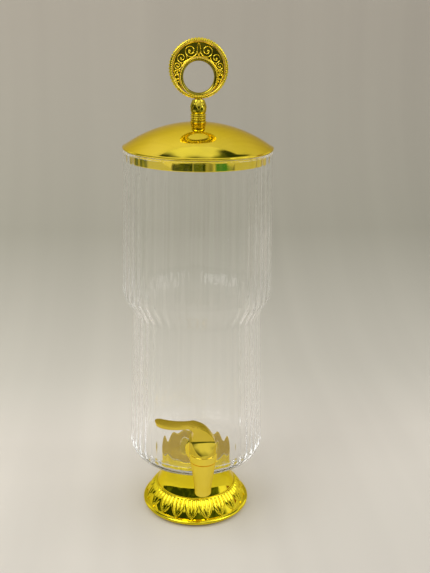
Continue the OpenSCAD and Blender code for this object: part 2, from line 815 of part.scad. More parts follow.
// Disc whose edge is a row of beads
module beaded_disc(r, bead, count) {
    polygon([for (i = [0 : count - 1], k = [-1 : 1])
        let (a = 360 * i / count, b = a + 62 * k)
        [r * cos(a) + bead * cos(b), r * sin(a) + bead * sin(b)]]);
}

// Crescent inside the borders: a thin plate with rolled scrolls that shrink towards its ends
module finial_filigree() {
    out_r = ring_r - border_w - inlay_gap;
    in_r = ring_hole_r + hole_border_w + inlay_gap;
    leaf_in = in_r - ring_hole_drop + 0.3 * scroll_w;
    leaf_out = out_r - 0.3 * scroll_w;
    color(gold)
        translate([0, 0, ring_z])
            rotate([90, 0, 0]) {
                linear_extrude(height = filigree_t, center = true)
                    openwork(out_r, in_r);
                linear_extrude(height = ground_t, center = true)
                    crescent(out_r - 0.5 * scroll_w, in_r + 0.5 * scroll_w);
                linear_extrude(height = filigree_t + 0.6, center = true)
                    translate([0, (leaf_out + leaf_in) / 2])
                        palmette((leaf_out - leaf_in) / 2);
            }
}

// Plate that closes the crescent behind its scrolls
module crescent(out_r, in_r) {
    difference() {
        circle(r = out_r, $fn = 72);
        translate([0, -ring_hole_drop])
            circle(r = in_r, $fn = 72);
    }
}

// The crescent's two edge bands and its scrolls
module openwork(out_r, in_r) {
    intersection() {
        circle(r = out_r, $fn = 72);
        difference() {
            union() {
                difference() {
                    circle(r = out_r, $fn = 72);
                    circle(r = out_r - scroll_w, $fn = 72);
                }
                translate([0, -ring_hole_drop])
                    circle(r = in_r + scroll_w, $fn = 72);
                for (angle = scroll_angles, side = [-1, 1])
                    scroll(angle, side, out_r, in_r);
            }
            translate([0, -ring_hole_drop])
                circle(r = in_r, $fn = 72);
        }
    }
}

// Places of the scrolls, in degrees from the top of the ring
scroll_angles = [26, 59.5, 83, 99.5, 111, 119];

// One scroll at an angle from the top, as large as the crescent's width there allows
module scroll(angle, side, out_r, in_r) {
    near = crescent_inner(angle, in_r);
    size = (out_r - near) / 2 - 0.75 * scroll_w;
    translate([side * (near + out_r) / 2 * sin(angle), (near + out_r) / 2 * cos(angle)])
        scale([side, 1])
            rotate(200 - angle)
                if (size > 2.2 * scroll_w) {
                    polygon(concat(spiral(size + 0.5 * scroll_w, 0), spiral(size - 0.5 * scroll_w, 1)));
                    translate([-0.17 * size, 0])
                        circle(r = 0.17 * size + 0.3, $fn = 20);
                } else difference() {
                    circle(r = size + 0.5 * scroll_w, $fn = 24);
                    circle(r = size - 0.5 * scroll_w, $fn = 24);
                }
}

// One side of a spiral band that rolls inwards over one and a half turns; the other side runs back
function spiral(r, back) =
    [for (i = [0 : 27]) let (t = (back == 1 ? 27 - i : i) / 27, rr = r * (1 - 0.72 * t) + 0.1)
        [rr * cos(540 * t), rr * sin(540 * t)]];

// Upright leaf between the two largest scrolls
module palmette(reach) {
    w = 0.24 * reach;
    difference() {
        polygon([for (i = [0 : 23]) let (a = 15 * i) [w * sin(a), reach * cos(a)]]);
        polygon([for (i = [0 : 15]) let (a = 22.5 * i) [0.5 * w * sin(a), 0.5 * reach * cos(a)]]);
    }
}

// Distance from the ring's middle to the inner border along an angle from the top
function crescent_inner(angle, in_r) =
    -ring_hole_drop * cos(angle) + sqrt(pow(in_r, 2) - pow(ring_hole_drop * sin(angle), 2));

// Screw that holds the finial from inside the dome
module finial_screw() {
    color(steel)
        translate([0, 0, dome_under_z - finial_washer_t]) {
            translate([0, 0, -2.6])
                cylinder(r = 2 * finial_screw_r - 0.5, h = 2.6, $fn = small_fn);
            cylinder(r = finial_screw_r, h = 11.2, $fn = small_fn);
        }
}

module finial_washer() {
    z = dome_under_z - finial_washer_t;
    color(steel)
        turned([[finial_screw_r + 0.1, z], [finial_washer_r, z], [finial_washer_r, dome_under_z],
                [finial_screw_r + 0.1, dome_under_z]], small_fn);
}

foot_pad();
foot_ring();
neck();
bridge_plate();
seat_plate();
tie_rod();
rod_washer();
rod_nut();
seat_cushion();
glass_vessel();
tap_body();
tap_shank();
tap_flange();
outer_washer();
inner_washer();
steel_washer();
lock_nut();
bonnet_nut();
valve_plug();
plug_seals();
tap_lever();
lever_screw();
lid_dome();
lid_collar();
lid_seal();
finial_stem();
finial_calyx();
finial_ring();
finial_filigree();
finial_screw();
finial_washer();
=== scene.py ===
import json
import math
import bmesh
import bpy
from mathutils import Matrix, Vector, noise


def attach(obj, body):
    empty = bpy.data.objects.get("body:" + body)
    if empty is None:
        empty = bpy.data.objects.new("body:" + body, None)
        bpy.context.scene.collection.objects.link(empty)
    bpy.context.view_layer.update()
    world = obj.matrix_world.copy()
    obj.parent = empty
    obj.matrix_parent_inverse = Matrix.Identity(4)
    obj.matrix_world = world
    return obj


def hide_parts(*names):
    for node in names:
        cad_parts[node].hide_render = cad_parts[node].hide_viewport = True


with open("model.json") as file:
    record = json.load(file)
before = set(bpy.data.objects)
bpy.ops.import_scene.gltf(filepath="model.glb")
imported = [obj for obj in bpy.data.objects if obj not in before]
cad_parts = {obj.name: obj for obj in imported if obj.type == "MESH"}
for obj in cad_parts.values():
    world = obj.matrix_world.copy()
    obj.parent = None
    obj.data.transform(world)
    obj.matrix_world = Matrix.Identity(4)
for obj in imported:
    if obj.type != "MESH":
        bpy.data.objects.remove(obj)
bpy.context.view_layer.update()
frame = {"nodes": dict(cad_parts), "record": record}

MM = 0.001
TAU = 2 * math.pi
scene = bpy.context.scene

# Sizes in millimetres, as in the CAD source, apart from four that follow the photograph more closely:
# MOUTH_Z, DOME_R, COLLAR_H and STEM_NECK_R.

# Pedestal, with heights from the table
FOOT_R, FOOT_TOP_R, FOOT_H = 61.0, 44.6, 26.6
FOOT_BORE_R = FOOT_TOP_R - 3.2
LEDGE_R, LEDGE_Z = FOOT_R - 10.6, 15.6
EDGE_H = 7.6
LEAVES, LEAF_DEPTH = 20, 1.3
NECK_R = 39.3
SHEET = 1.4
SEAT_Z, SEAT_T, SEAT_R = 64.9, 2.4, NECK_R + 0.6
SEAT_LIP_Z = SEAT_Z - SEAT_T
ROD_HOLE_R = 4.05
CUSHION_T = 1.6
SEAT_GAP = 0.05

# Glass vessel
RIM_R = 77.4
MOUTH_R, UPPER_R, WAIST_R, LOWER_R = RIM_R - 0.7, 80.2, 69.4, 74.3
CORNER_R = 19.0
VESSEL_Z = SEAT_Z + CUSHION_T
CORNER_Z, WAIST_Z, UPPER_Z = VESSEL_Z + CORNER_R, VESSEL_Z + 169, VESSEL_Z + 196
MOUTH_Z = VESSEL_Z + 344.7
RIBS, RIB_DEPTH, WALL, FLOOR = 44, 1.2, 2.8, 8.0
LIP_FADE = 8
TAP_HOLE_R = 8.2

# Lid
RIM_T, DOME_R, COLLAR_H, COLLAR_T = 2.8, 131.6, 11.3, 0.9
UNDER_Z = MOUTH_Z + 1.0
RIM_Z = UNDER_Z + RIM_T / 2
DOME_TOP = RIM_Z + RIM_T / 4 + DOME_R - math.sqrt(DOME_R ** 2 - (RIM_R - RIM_T / 3) ** 2)
COLLAR_R = MOUTH_R - RIB_DEPTH - WALL - 0.5
FLANGE_R = RIM_R - 0.6 * RIM_T
SCREW_HOLE_R = 2.7

# Finial
STEM_R, STEM_H, STEM_FOOT_R, STEM_NECK_R = 8.3, 23.0, 8.2, 5.3
STEM_WAIST_R = STEM_R - 1.6
BEAD_ZONE_H = 9.0
FLAT_Z = DOME_TOP - DOME_R + math.sqrt(DOME_R ** 2 - STEM_FOOT_R ** 2)
RING_R, RING_T, BORDER_W, RING_BEADS = 30.0, 5.6, 3.6, 56
HOLE_R, HOLE_BORDER_W, DROP = 15.4, 3.4, 8.0
RING_Z = FLAT_Z + STEM_H + RING_R + SEAT_GAP
HOLE_Z = RING_Z - DROP
INLAY_GAP = 0.15
CRESCENT_OUT_R = RING_R - BORDER_W - INLAY_GAP
CRESCENT_IN_R = HOLE_R + HOLE_BORDER_W + INLAY_GAP
SCROLL_W, SCROLL_HALF_T = 1.1, 1.2
PEG_R = 2.4

# Tap, with distances along -Y from the vessel's axis
TAP_Z = VESSEL_Z + 42.1
REACH = 101.0
BAND_R, BAND_Z, BAND_TOP = 14.2, TAP_Z + 2.4, TAP_Z + 10.8
BOSS_Y = REACH - BAND_R - 1
ARM_R, SHANK_R, PASSAGE_R = 9.2, 7.9, 4.5
SPOUT_Z, SPOUT_R, SPOUT_BORE_R = TAP_Z - 38.6, 8.5, 6.0
CHAMBER_Z, CHAMBER_R = TAP_Z - 11.6, 9.55
OUTER_WASHER_T, INNER_WASHER_T, STEEL_WASHER_T, NUT_T = 1.6, 4.2, 1.5, 7
ROSETTE_R, ROSETTE_T = 17, 2.5
HUB_Z, HUB_R = BAND_TOP + 0.3, 13.9
LEVER_LEN, LEVER_H, BLADE_T, BLADE_W, BLADE_TIP_W = 49.0, 31.3, 2.8, 6.5, 7.6
TIP_CURL, SLANT_H, THUMB_R, THUMB_DEPTH = 4.8, 13.4, 30, 0.7


def mix(a, b, t):
    return a + (b - a) * t


def ease(a, b, t):
    return a + (b - a) * (1 - math.cos(math.pi * t)) / 2


def smooth_step(a, b, x):
    t = min(1.0, max(0.0, (x - a) / (b - a)))
    return t * t * (3 - 2 * t)


def steps_between(a, b, n):
    """n + 1 values from a to b."""
    return [mix(a, b, i / n) for i in range(n + 1)]


def arc(cx, cy, r, a0, a1, n):
    """Points of an arc from angle a0 to angle a1, in degrees and n steps."""
    return [(cx + r * math.cos(math.radians(a)), cy + r * math.sin(math.radians(a)))
            for a in steps_between(a0, a1, n)]


def wall_r(z):
    """Radius of the vessel over its ribs."""
    if z < CORNER_Z:
        return LOWER_R - CORNER_R + math.sqrt(max(0.0, CORNER_R ** 2 - (CORNER_Z - z) ** 2))
    if z < WAIST_Z:
        return mix(LOWER_R, WAIST_R, (z - CORNER_Z) / (WAIST_Z - CORNER_Z))
    if z < UPPER_Z:
        return ease(WAIST_R, UPPER_R, (z - WAIST_Z) / (UPPER_Z - WAIST_Z))
    return mix(UPPER_R, MOUTH_R, (z - UPPER_Z) / (MOUTH_Z - UPPER_Z))


# Materials
# Sockets of the Mix node that mixes colours
MIX_FACTOR, MIX_A, MIX_B, MIX_RESULT = 0, 6, 7, 2


def new_material(name):
    m = bpy.data.materials.new(name)
    m.use_nodes = True
    nt = m.node_tree
    nt.nodes.clear()
    out = nt.nodes.new("ShaderNodeOutputMaterial")
    bsdf = nt.nodes.new("ShaderNodeBsdfPrincipled")
    nt.links.new(bsdf.outputs["BSDF"], out.inputs["Surface"])
    return m, nt, bsdf


def noise_field(nt, scale, detail=3.0, stretch=(1, 1, 1), source=None):
    """Soft noise on object coordinates, or on those of another source."""
    mapping = nt.nodes.new("ShaderNodeMapping")
    mapping.inputs["Scale"].default_value = stretch
    nt.links.new(source or nt.nodes.new("ShaderNodeTexCoord").outputs["Object"], mapping.inputs["Vector"])
    tex = nt.nodes.new("ShaderNodeTexNoise")
    tex.inputs["Scale"].default_value = scale
    tex.inputs["Detail"].default_value = detail
    nt.links.new(mapping.outputs["Vector"], tex.inputs["Vector"])
    return tex.outputs["Fac"]


def span(nt, source, low, high, a, b):
    """Maps low to a and high to b, and stays between them."""
    n = nt.nodes.new("ShaderNodeMapRange")
    for key, value in (("From Min", low), ("From Max", high), ("To Min", a), ("To Max", b)):
        n.inputs[key].default_value = value
    nt.links.new(source, n.inputs["Value"])
    return n.outputs["Result"]


def math_node(nt, operation, a, b=None):
    """Math on sockets and numbers."""
    n = nt.nodes.new("ShaderNodeMath")
    n.operation = operation
    for socket, value in zip(n.inputs, (a, b)):
        if isinstance(value, float):
            socket.default_value = value
        elif value is not None:
            nt.links.new(value, socket)
    return n.outputs[0]


def blend_colours(nt, factor, a, b):
    """From a at 0 to b at 1, each a colour or a socket."""
    n = nt.nodes.new("ShaderNodeMix")
    n.data_type = "RGBA"
    for index, colour in ((MIX_A, a), (MIX_B, b)):
        if isinstance(colour, tuple):
            n.inputs[index].default_value = (*colour, 1)
        else:
            nt.links.new(colour, n.inputs[index])
    nt.links.new(factor, n.inputs[MIX_FACTOR])
    return n.outputs[MIX_RESULT]


def add_bump(nt, bsdf, height, strength, distance):
    n = nt.nodes.new("ShaderNodeBump")
    n.inputs["Strength"].default_value = strength
    n.inputs["Distance"].default_value = distance
    nt.links.new(height, n.inputs["Height"])
    nt.links.new(n.outputs["Normal"], bsdf.inputs["Normal"])


def gold(name, light, deep, rough, wave):
    """Polished plating: two shades in soft clouds, smears in the polish and a faint waviness."""
    m, nt, bsdf = new_material(name)
    bsdf.inputs["Metallic"].default_value = 1.0
    bsdf.inputs["Specular Tint"].default_value = (1.0, 0.87, 0.45, 1)
    clouds = span(nt, noise_field(nt, 26.0, 2.0), 0.35, 0.65, 0.0, 1.0)
    nt.links.new(blend_colours(nt, clouds, deep, light), bsdf.inputs["Base Color"])
    smear = noise_field(nt, 60.0, 4.0, (1, 1, 0.4))
    nt.links.new(span(nt, smear, 0.3, 0.75, rough * 0.6, rough * 1.6), bsdf.inputs["Roughness"])
    add_bump(nt, bsdf, noise_field(nt, 45.0, 1.0), wave, 0.002)
    return m


def steel_material():
    """Turned steel with fine tool marks round its axis."""
    m, nt, bsdf = new_material("machined_steel")
    bsdf.inputs["Metallic"].default_value = 1.0
    tone = noise_field(nt, 90.0, 3.0, (1, 1, 6))
    colour = blend_colours(nt, tone, (0.50, 0.51, 0.53), (0.70, 0.71, 0.72))
    nt.links.new(colour, bsdf.inputs["Base Color"])
    nt.links.new(span(nt, tone, 0.3, 0.7, 0.22, 0.4), bsdf.inputs["Roughness"])
    return m


def rubber_material():
    """Matt black rubber with a fine grain."""
    m, nt, bsdf = new_material("black_rubber")
    tone = noise_field(nt, 300.0, 4.0)
    colour = blend_colours(nt, tone, (0.015, 0.015, 0.015), (0.035, 0.035, 0.035))
    nt.links.new(colour, bsdf.inputs["Base Color"])
    nt.links.new(span(nt, tone, 0.3, 0.7, 0.56, 0.77), bsdf.inputs["Roughness"])
    add_bump(nt, bsdf, tone, 0.25, 0.0004)
    return m


def clear_material(name, a, b, rough, ior=1.41):
    """Clear, slightly cloudy elastomer."""
    m, nt, bsdf = new_material(name)
    tone = noise_field(nt, 140.0, 3.0)
    nt.links.new(blend_colours(nt, tone, a, b), bsdf.inputs["Base Color"])
    nt.links.new(span(nt, tone, 0.3, 0.7, rough * 0.7, rough * 1.4), bsdf.inputs["Roughness"])
    bsdf.inputs["Transmission Weight"].default_value = 1.0
    bsdf.inputs["IOR"].default_value = ior
    return m


def glass_material():
    """Clear glass. Its index is below that of real glass, because the photographed one bends little."""
    m, nt, bsdf = new_material("fluted_glass")
    tone = noise_field(nt, 22.0, 2.0, (1, 1, 0.25))
    nt.links.new(blend_colours(nt, tone, (0.996, 1.0, 0.994), (1.0, 1.0, 1.0)), bsdf.inputs["Base Color"])
    bsdf.inputs["Transmission Weight"].default_value = 1.0
    bsdf.inputs["IOR"].default_value = 1.27
    smear = noise_field(nt, 40.0, 3.0)
    nt.links.new(span(nt, smear, 0.5, 0.85, 0.0, 0.04), bsdf.inputs["Roughness"])
    add_bump(nt, bsdf, tone, 0.15, 0.002)
    return m


# Materials of the record's slots
MAT = {
    "lid_gold": gold("lid_plating", (0.92, 0.735, 0.08), (0.86, 0.69, 0.055), 0.07, 0.10),
    "foot_gold": gold("foot_plating", (0.93, 0.77, 0.035), (0.85, 0.69, 0.02), 0.05, 0.08),
    "tap_gold": gold("tap_plating", (0.97, 0.77, 0.10), (0.91, 0.71, 0.06), 0.05, 0.06),
    "glass": glass_material(),
    "steel": steel_material(),
    "silicone": clear_material("clear_silicone", (0.93, 0.94, 0.92), (0.98, 0.98, 0.97), 0.12),
    "rubber": rubber_material(),
}
# Aged silicone against the glass. Its low index stands for faces that lie wetted to each other.
SOFT_CLEAR = clear_material("yellowed_silicone", (0.95, 0.89, 0.60), (0.98, 0.94, 0.72), 0.05, 1.15)
# Shaded copies of the golds, with painted shade: the finial, calyx and lever are darker than the rest of
# their slot, and the recess gold, darkest, paints the shade in the ring's bore and on the plate between the
# scrolls
FINIAL_SHADE_GOLD = gold("finial_shaded_plating", (0.66, 0.53, 0.045), (0.50, 0.40, 0.03), 0.10, 0.10)
CALYX_SHADE_GOLD = gold("calyx_shaded_plating", (0.46, 0.37, 0.03), (0.34, 0.27, 0.02), 0.10, 0.10)
LEVER_SHADE_GOLD = gold("lever_shaded_plating", (0.76, 0.585, 0.07), (0.70, 0.54, 0.045), 0.05, 0.06)
RECESS_SHADE_GOLD = gold("recess_shaded_plating", (0.46, 0.37, 0.03), (0.20, 0.17, 0.02), 0.22, 0.10)
# Nodes beside the glass, where the photograph shows gold through it
SEEN = {"steel_washer": MAT["tap_gold"], "inner_washer": SOFT_CLEAR, "outer_washer": SOFT_CLEAR}
SLOT_OF = {s["node"]: s["material_slot"] for s in frame["record"]["subparts"]}
BODY_OF = {n: b for b, ns in frame["record"]["behaviour"]["bodies"].items() for n in ns}


# Mesh helpers, which take millimetres and give metres
def mesh_from(verts, faces):
    me = bpy.data.meshes.new("part")
    me.from_pydata([Vector(v) * MM for v in verts], [], faces)
    bm = bmesh.new()
    bm.from_mesh(me)
    bmesh.ops.remove_doubles(bm, verts=bm.verts, dist=2e-7)
    bmesh.ops.recalc_face_normals(bm, faces=bm.faces)
    bm.to_mesh(me)
    bm.free()
    return me


def shade(me, limit=30.0):
    """Smooth faces, with sharp edges where they meet at more than the limit in degrees."""
    bm = bmesh.new()
    bm.from_mesh(me)
    for f in bm.faces:
        f.smooth = True
    for e in bm.edges:
        if len(e.link_faces) == 2 and e.calc_face_angle(0.0) > math.radians(limit):
            e.smooth = False
    bm.to_mesh(me)
    bm.free()


def piece(name, me, node, limit=30.0, mat=None):
    """Makes a mesh a piece that stands for a CAD node, on that node's body and with its material."""
    me.name = name
    shade(me, limit)
    me.materials.clear()
    me.materials.append(mat or MAT[SLOT_OF[node]])
    ob = bpy.data.objects.new(name, me)
    scene.collection.objects.link(ob)
    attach(ob, BODY_OF[node])
    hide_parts(node)
    return ob


def lathe(profile, seg=192):
    """Solid of revolution from a closed outline of radius and height."""
    verts, rings, faces = [], [], []
    for r, z in profile:
        if r < 1e-6:
            rings.append([len(verts)])
            verts.append((0, 0, z))
        else:
            rings.append(range(len(verts), len(verts) + seg))
            verts += [(r * math.cos(TAU * i / seg), r * math.sin(TAU * i / seg), z) for i in range(seg)]
    for j, a in enumerate(rings):
        b = rings[(j + 1) % len(rings)]
        for i in range(seg):
            k = (i + 1) % seg
            if len(a) > 1 and len(b) > 1:
                faces.append((a[i], a[k], b[k], b[i]))
            elif len(a) > 1:
                faces.append((a[i], a[k], b[0]))
            elif len(b) > 1:
                faces.append((a[0], b[k], b[i]))
    return mesh_from(verts, faces)


def soften(points, r, n=3, closed=True):
    """Rounds the corners of an outline, each in n steps."""
    out, m = [], len(points)
    for i, p in enumerate(points):
        if not closed and i in (0, m - 1):
            out.append(p)
            continue
        a, b, c = Vector(points[i - 1]), Vector(p), Vector(points[(i + 1) % m])
        u, v = a - b, c - b
        if u.length < 1e-6 or v.length < 1e-6 or p[0] < 1e-6 or math.pi - u.angle(v) < 0.2:
            out.append(p)
            continue
        d = min(r, u.length * 0.45, v.length * 0.45)
        p0, p1 = b + u.normalized() * d, b + v.normalized() * d
        for k in range(n + 1):
            t = k / n
            q = p0 * (1 - t) ** 2 + b * 2 * t * (1 - t) + p1 * t * t
            out.append((q.x, q.y))
    return out


def moved(me, matrix):
    me.transform(matrix)
    return me


def at(x, y, z):
    return Matrix.Translation(Vector((x, y, z)) * MM)


# A lathe's +Z turns to -Y
TO_FRONT = Matrix.Rotation(math.radians(90), 4, "X")


def facing_front(profile, seg, z):
    """Solid of revolution about an axis that runs along -Y at a height."""
    return moved(lathe(profile, seg), at(0, 0, z) @ TO_FRONT)


def tap_bar(r, y0, y1, seg=64, round_r=0.0):
    """Round bar on the tap's axis."""
    profile = [(0, y0), (r, y0), (r, y1), (0, y1)]
    if round_r:
        profile = soften(profile, round_r, 4, closed=False)
    return facing_front(profile, seg, TAP_Z)


def combine(base, other, operation):
    """Boolean of two meshes as a new mesh."""
    a = bpy.data.objects.new("work_a", base)
    b = bpy.data.objects.new("work_b", other)
    for o in (a, b):
        scene.collection.objects.link(o)
    mod = a.modifiers.new("cut", "BOOLEAN")
    mod.operation, mod.solver, mod.object = operation, "EXACT", b
    me = bpy.data.meshes.new_from_object(a.evaluated_get(bpy.context.evaluated_depsgraph_get()))
    for o in (a, b):
        bpy.data.objects.remove(o)
    return me


def bevelled(me, width, segments, angle):
    """Rounds the edges that are sharper than the angle in degrees."""
    ob = bpy.data.objects.new("work", me)
    scene.collection.objects.link(ob)
    mod = ob.modifiers.new("bevel", "BEVEL")
    mod.width, mod.segments, mod.limit_method = width * MM, segments, "ANGLE"
    mod.angle_limit = math.radians(angle)
    out = bpy.data.meshes.new_from_object(ob.evaluated_get(bpy.context.evaluated_depsgraph_get()))
    bpy.data.objects.remove(ob)
    return out


def joined(meshes):
    bm = bmesh.new()
    for me in meshes:
        bm.from_mesh(me)
    out = bpy.data.meshes.new("part")
    bm.to_mesh(out)
    bm.free()
    return out


def bead(place, size, squash=(1, 1, 1), rings=8, seg=12):
    """A small closed ball."""
    verts, faces = [(0, 0, 1)], []
    for j in range(1, rings):
        a = math.pi * j / rings
        verts += [(math.sin(a) * math.cos(TAU * i / seg), math.sin(a) * math.sin(TAU * i / seg), math.cos(a))
                  for i in range(seg)]
    verts.append((0, 0, -1))
    last = len(verts) - 1
    for i in range(seg):
        k = (i + 1) % seg
        faces.append((0, 1 + i, 1 + k))
        faces.append((last, last - seg + k, last - seg + i))
        for j in range(rings - 2):
            p, q = 1 + j * seg, 1 + (j + 1) * seg
            faces.append((p + i, q + i, q + k, p + k))
    verts = [tuple(place[c] + v[c] * size * squash[c] for c in range(3)) for v in verts]
    return verts, faces


def many(shapes):
    """One mesh of several shapes, each with its own points and faces."""
    verts, faces = [], []
    for v, f in shapes:
        n = len(verts)
        verts += v
        faces += [tuple(n + i for i in q) for q in f]
    return mesh_from(verts, faces)


def side_faces(rings, n, closed=False):
    """Faces between stacked rings of n points; closed joins the last ring to the first."""
    return [(j * n + i, j * n + (i + 1) % n, (j + 1) % rings * n + (i + 1) % n, (j + 1) % rings * n + i)
            for j in range(rings if closed else rings - 1) for i in range(n)]


def prism(outline, low, high, place):
    """Extrudes an outline between two depths; place turns (a, b, depth) into a point."""
    n = len(outline)
    verts = [place(a, b, low) for a, b in outline] + [place(a, b, high) for a, b in outline]
    faces = [tuple(range(n)), tuple(range(2 * n - 1, n - 1, -1))]
    faces += [(i, n + i, n + (i + 1) % n, (i + 1) % n) for i in range(n)]
    return mesh_from(verts, faces)


# Pedestal
def leaf_crest(u, t):
    """Height of the leaves, from 0 in a groove to 1. u runs across a leaf, and t down it to its tip."""
    reach, across = 1 - t ** 2.6, abs(2 * u - 1)
    if across >= reach:
        return 0.0
    return abs(math.cos(1.5 * math.pi * across / reach)) ** 0.7


def foot_leafwork():
    steps, rows = 36, 44
    count = LEAVES * steps
    top_r, top_z = FOOT_TOP_R + 0.8, FOOT_H - 1
    low_r, low_z = FOOT_R - 3.2, EDGE_H + 0.6
    swell, fade = 1.9, 0.05

    def leaf_row(t):
        """One row of the leaf band, whose leaves fade in at its top."""
        r = mix(top_r, low_r, t) + swell * math.sin(math.pi * t ** 0.8)
        plain = 1 - smooth_step(0.0, fade, t)
        crests = [mix(leaf_crest(k / steps, t * rows / (rows + 1)), 1.0, plain) for k in range(steps)]
        return r, mix(top_z, low_z, t), crests

    edge = [(FOOT_R - 10, 1.0), (FOOT_R - 6, 1.0), (FOOT_R - 3, 1.8), (FOOT_R - 0.9, 3.6),
            (FOOT_R, EDGE_H - 2.4), (FOOT_R - 0.5, EDGE_H - 0.9), (FOOT_R - 2, EDGE_H),
            (FOOT_R - 2.6, EDGE_H + 0.15)]
    crown = [(FOOT_TOP_R + 0.7, top_z + 0.35), (FOOT_TOP_R + 0.3, FOOT_H - 0.1), (FOOT_TOP_R - 0.3, FOOT_H)]
    inside = [(FOOT_BORE_R, FOOT_H), (FOOT_BORE_R, FOOT_H - 4), (LEDGE_R - 3.4, LEDGE_Z),
              (LEDGE_R, LEDGE_Z), (LEDGE_R, 12.0), (FOOT_R - 10, 10.0)]
    smooth = [1.0] * steps
    levels = [(r, z, smooth) for r, z in soften(edge, 1.2, 4, closed=False)]
    levels += [leaf_row(1 - i / rows) for i in range(rows + 1)]
    levels += [(r, z, smooth) for r, z in crown + inside]
    verts = []
    for r, z, crests in levels:
        for k in range(count):
            a = TAU * k / count
            rr = r - LEAF_DEPTH * (1 - crests[k % steps])
            verts.append((rr * math.cos(a), rr * math.sin(a), z))
    faces = side_faces(len(levels), count, closed=True)
    piece("foot_leafwork", mesh_from(verts, faces), "foot_ring", 50)


def spun_neck():
    """Neck of sheet metal: a spigot in the foot, a cove, a waist and a bell that carries the seat."""
    spigot_r, spigot_z = FOOT_BORE_R - 0.3, FOOT_H - 4
    cove_r, waist_z = FOOT_TOP_R - 0.4, FOOT_H + 17
    ledge_r = SEAT_R - 9
    cove = [(NECK_R + (cove_r - NECK_R) * (1 - t) ** 1.7, mix(FOOT_H + 1, waist_z, t))
            for t in steps_between(0, 1, 20)]
    bell = [(NECK_R + (SEAT_R - NECK_R) * t ** 2, mix(waist_z + 4, SEAT_LIP_Z, t))
            for t in steps_between(0, 1, 10)]
    profile = [(spigot_r - SHEET, spigot_z), (spigot_r, spigot_z), (spigot_r, FOOT_H),
               (cove_r - 0.3, FOOT_H), (cove_r, FOOT_H + 0.3), (cove_r, FOOT_H + 0.8)]
    profile += cove + bell
    under_z = SEAT_LIP_Z - SHEET
    profile += [(ledge_r, SEAT_LIP_Z), (ledge_r, under_z), (SEAT_R - SHEET - 1, under_z),
                (NECK_R - SHEET, waist_z + 4), (NECK_R - SHEET, waist_z - 2)]
    piece("spun_neck", lathe(profile, 240), "neck", 40)


def plated_seat():
    plate = [(ROD_HOLE_R, SEAT_LIP_Z), (SEAT_R, SEAT_LIP_Z), (SEAT_R, SEAT_Z), (ROD_HOLE_R, SEAT_Z)]
    piece("plated_seat", lathe(soften(plate, 0.6), 192), "seat_plate", 40)


def seat_pad():
    in_r, out_r = SEAT_R - 18, SEAT_R - 1.2
    low, high = SEAT_Z + SEAT_GAP, VESSEL_Z - SEAT_GAP
    pad = [(in_r, low), (out_r, low), (out_r, high), (in_r, high)]
    piece("seat_pad", lathe(soften(pad, 0.4), 160), "seat_cushion", 40, SOFT_CLEAR)


# Glass vessel
def rib_share(z):
    """Share of the rib depth at a height: the ribs run out at the mouth and round the bottom corner."""
    if z > MOUTH_Z - LIP_FADE:
        return max(0.0, (MOUTH_Z - z) / LIP_FADE)
    if z < CORNER_Z:
        return max(0.0, (z - VESSEL_Z) / CORNER_R) ** 2
    return 1.0


def glass_ring(r, z, depth, uneven=1.0, inside=False):
    """Points round the vessel at a height, with ribs that wander a little, as in blown glass."""
    steps, sway, swell, wander = 10, 0.008, 0.25, 2.3
    tap_flat, tap_blend = 20, 30
    points = []
    for k in range(RIBS * steps):
        a = TAU * k / (RIBS * steps)
        crest = 0.5 - 0.5 * math.cos(TAU * (k % steps) / steps)
        drift = noise.noise(Vector((math.cos(a) * wander, math.sin(a) * wander, z * 0.011)))
        a += uneven * sway * drift
        sink = depth * (1 - crest) * (1 + swell * drift * uneven)
        if inside:
            sink -= 0.35 * depth
            # the inner face is plain round the tap's hole, where the washer lies
            if math.sin(a) < 0:
                sink *= smooth_step(tap_flat, tap_blend, math.hypot(r * math.cos(a), z - TAP_Z))
        points.append(((r - sink) * math.cos(a), (r - sink) * math.sin(a), z))
    return points


def blown_glass():
    rows, corner_steps = 14, 12
    outer_depth, inner_depth = 0.85, 0.5
    inset = RIB_DEPTH + WALL
    lip = 1.5
    levels = [CORNER_Z - CORNER_R * math.cos(math.radians(a)) for a in range(0, 91, 6)]
    levels += steps_between(CORNER_Z, WAIST_Z, rows)[1:]
    levels += steps_between(WAIST_Z, UPPER_Z, rows)[1:]
    levels += steps_between(UPPER_Z, MOUTH_Z - lip - 0.1, rows)[1:]
    rings = [glass_ring(wall_r(z), z, outer_depth * rib_share(z)) for z in levels]
    # rounded lip
    out_r, in_r = MOUTH_R - RIB_DEPTH, MOUTH_R - inset
    mid, half = (out_r + in_r) / 2, (out_r - in_r) / 2
    for a in range(0, 181, 20):
        turn = math.radians(a)
        rings.append(glass_ring(mid + half * math.cos(turn), MOUTH_Z - lip + lip * math.sin(turn), 0, 0))
    # inner face, from the mouth down to the floor's middle
    for z in reversed(levels):
        if CORNER_Z + 6 < z < MOUTH_Z - 6:
            fade = smooth_step(12, 26, MOUTH_Z - z)
            rings.append(glass_ring(wall_r(z) - inset, z, inner_depth * fade, inside=True))
    floor_z, bottom_r, corner = VESSEL_Z + FLOOR, LOWER_R - inset, CORNER_R - WALL - 3
    bend = arc(bottom_r - corner, floor_z + corner, corner, -90, 0, corner_steps)
    for i in range(corner_steps, -1, -1):
        fade = math.sin(math.radians(90 * i / corner_steps))
        rings.append(glass_ring(*bend[i], inner_depth * fade, inside=True))
    n = len(rings[0])
    verts = [p for ring in rings for p in ring] + [(0, 0, VESSEL_Z), (0, 0, floor_z)]
    low, high = len(verts) - 2, len(verts) - 1
    last = low - n
    faces = side_faces(len(rings), n)
    faces += [(low, (i + 1) % n, i) for i in range(n)]
    faces += [(high, last + i, last + (i + 1) % n) for i in range(n)]
    drill = tap_bar(TAP_HOLE_R, 44, 78)
    piece("blown_glass", combine(mesh_from(verts, faces), drill, "DIFFERENCE"), "glass_vessel", 45)


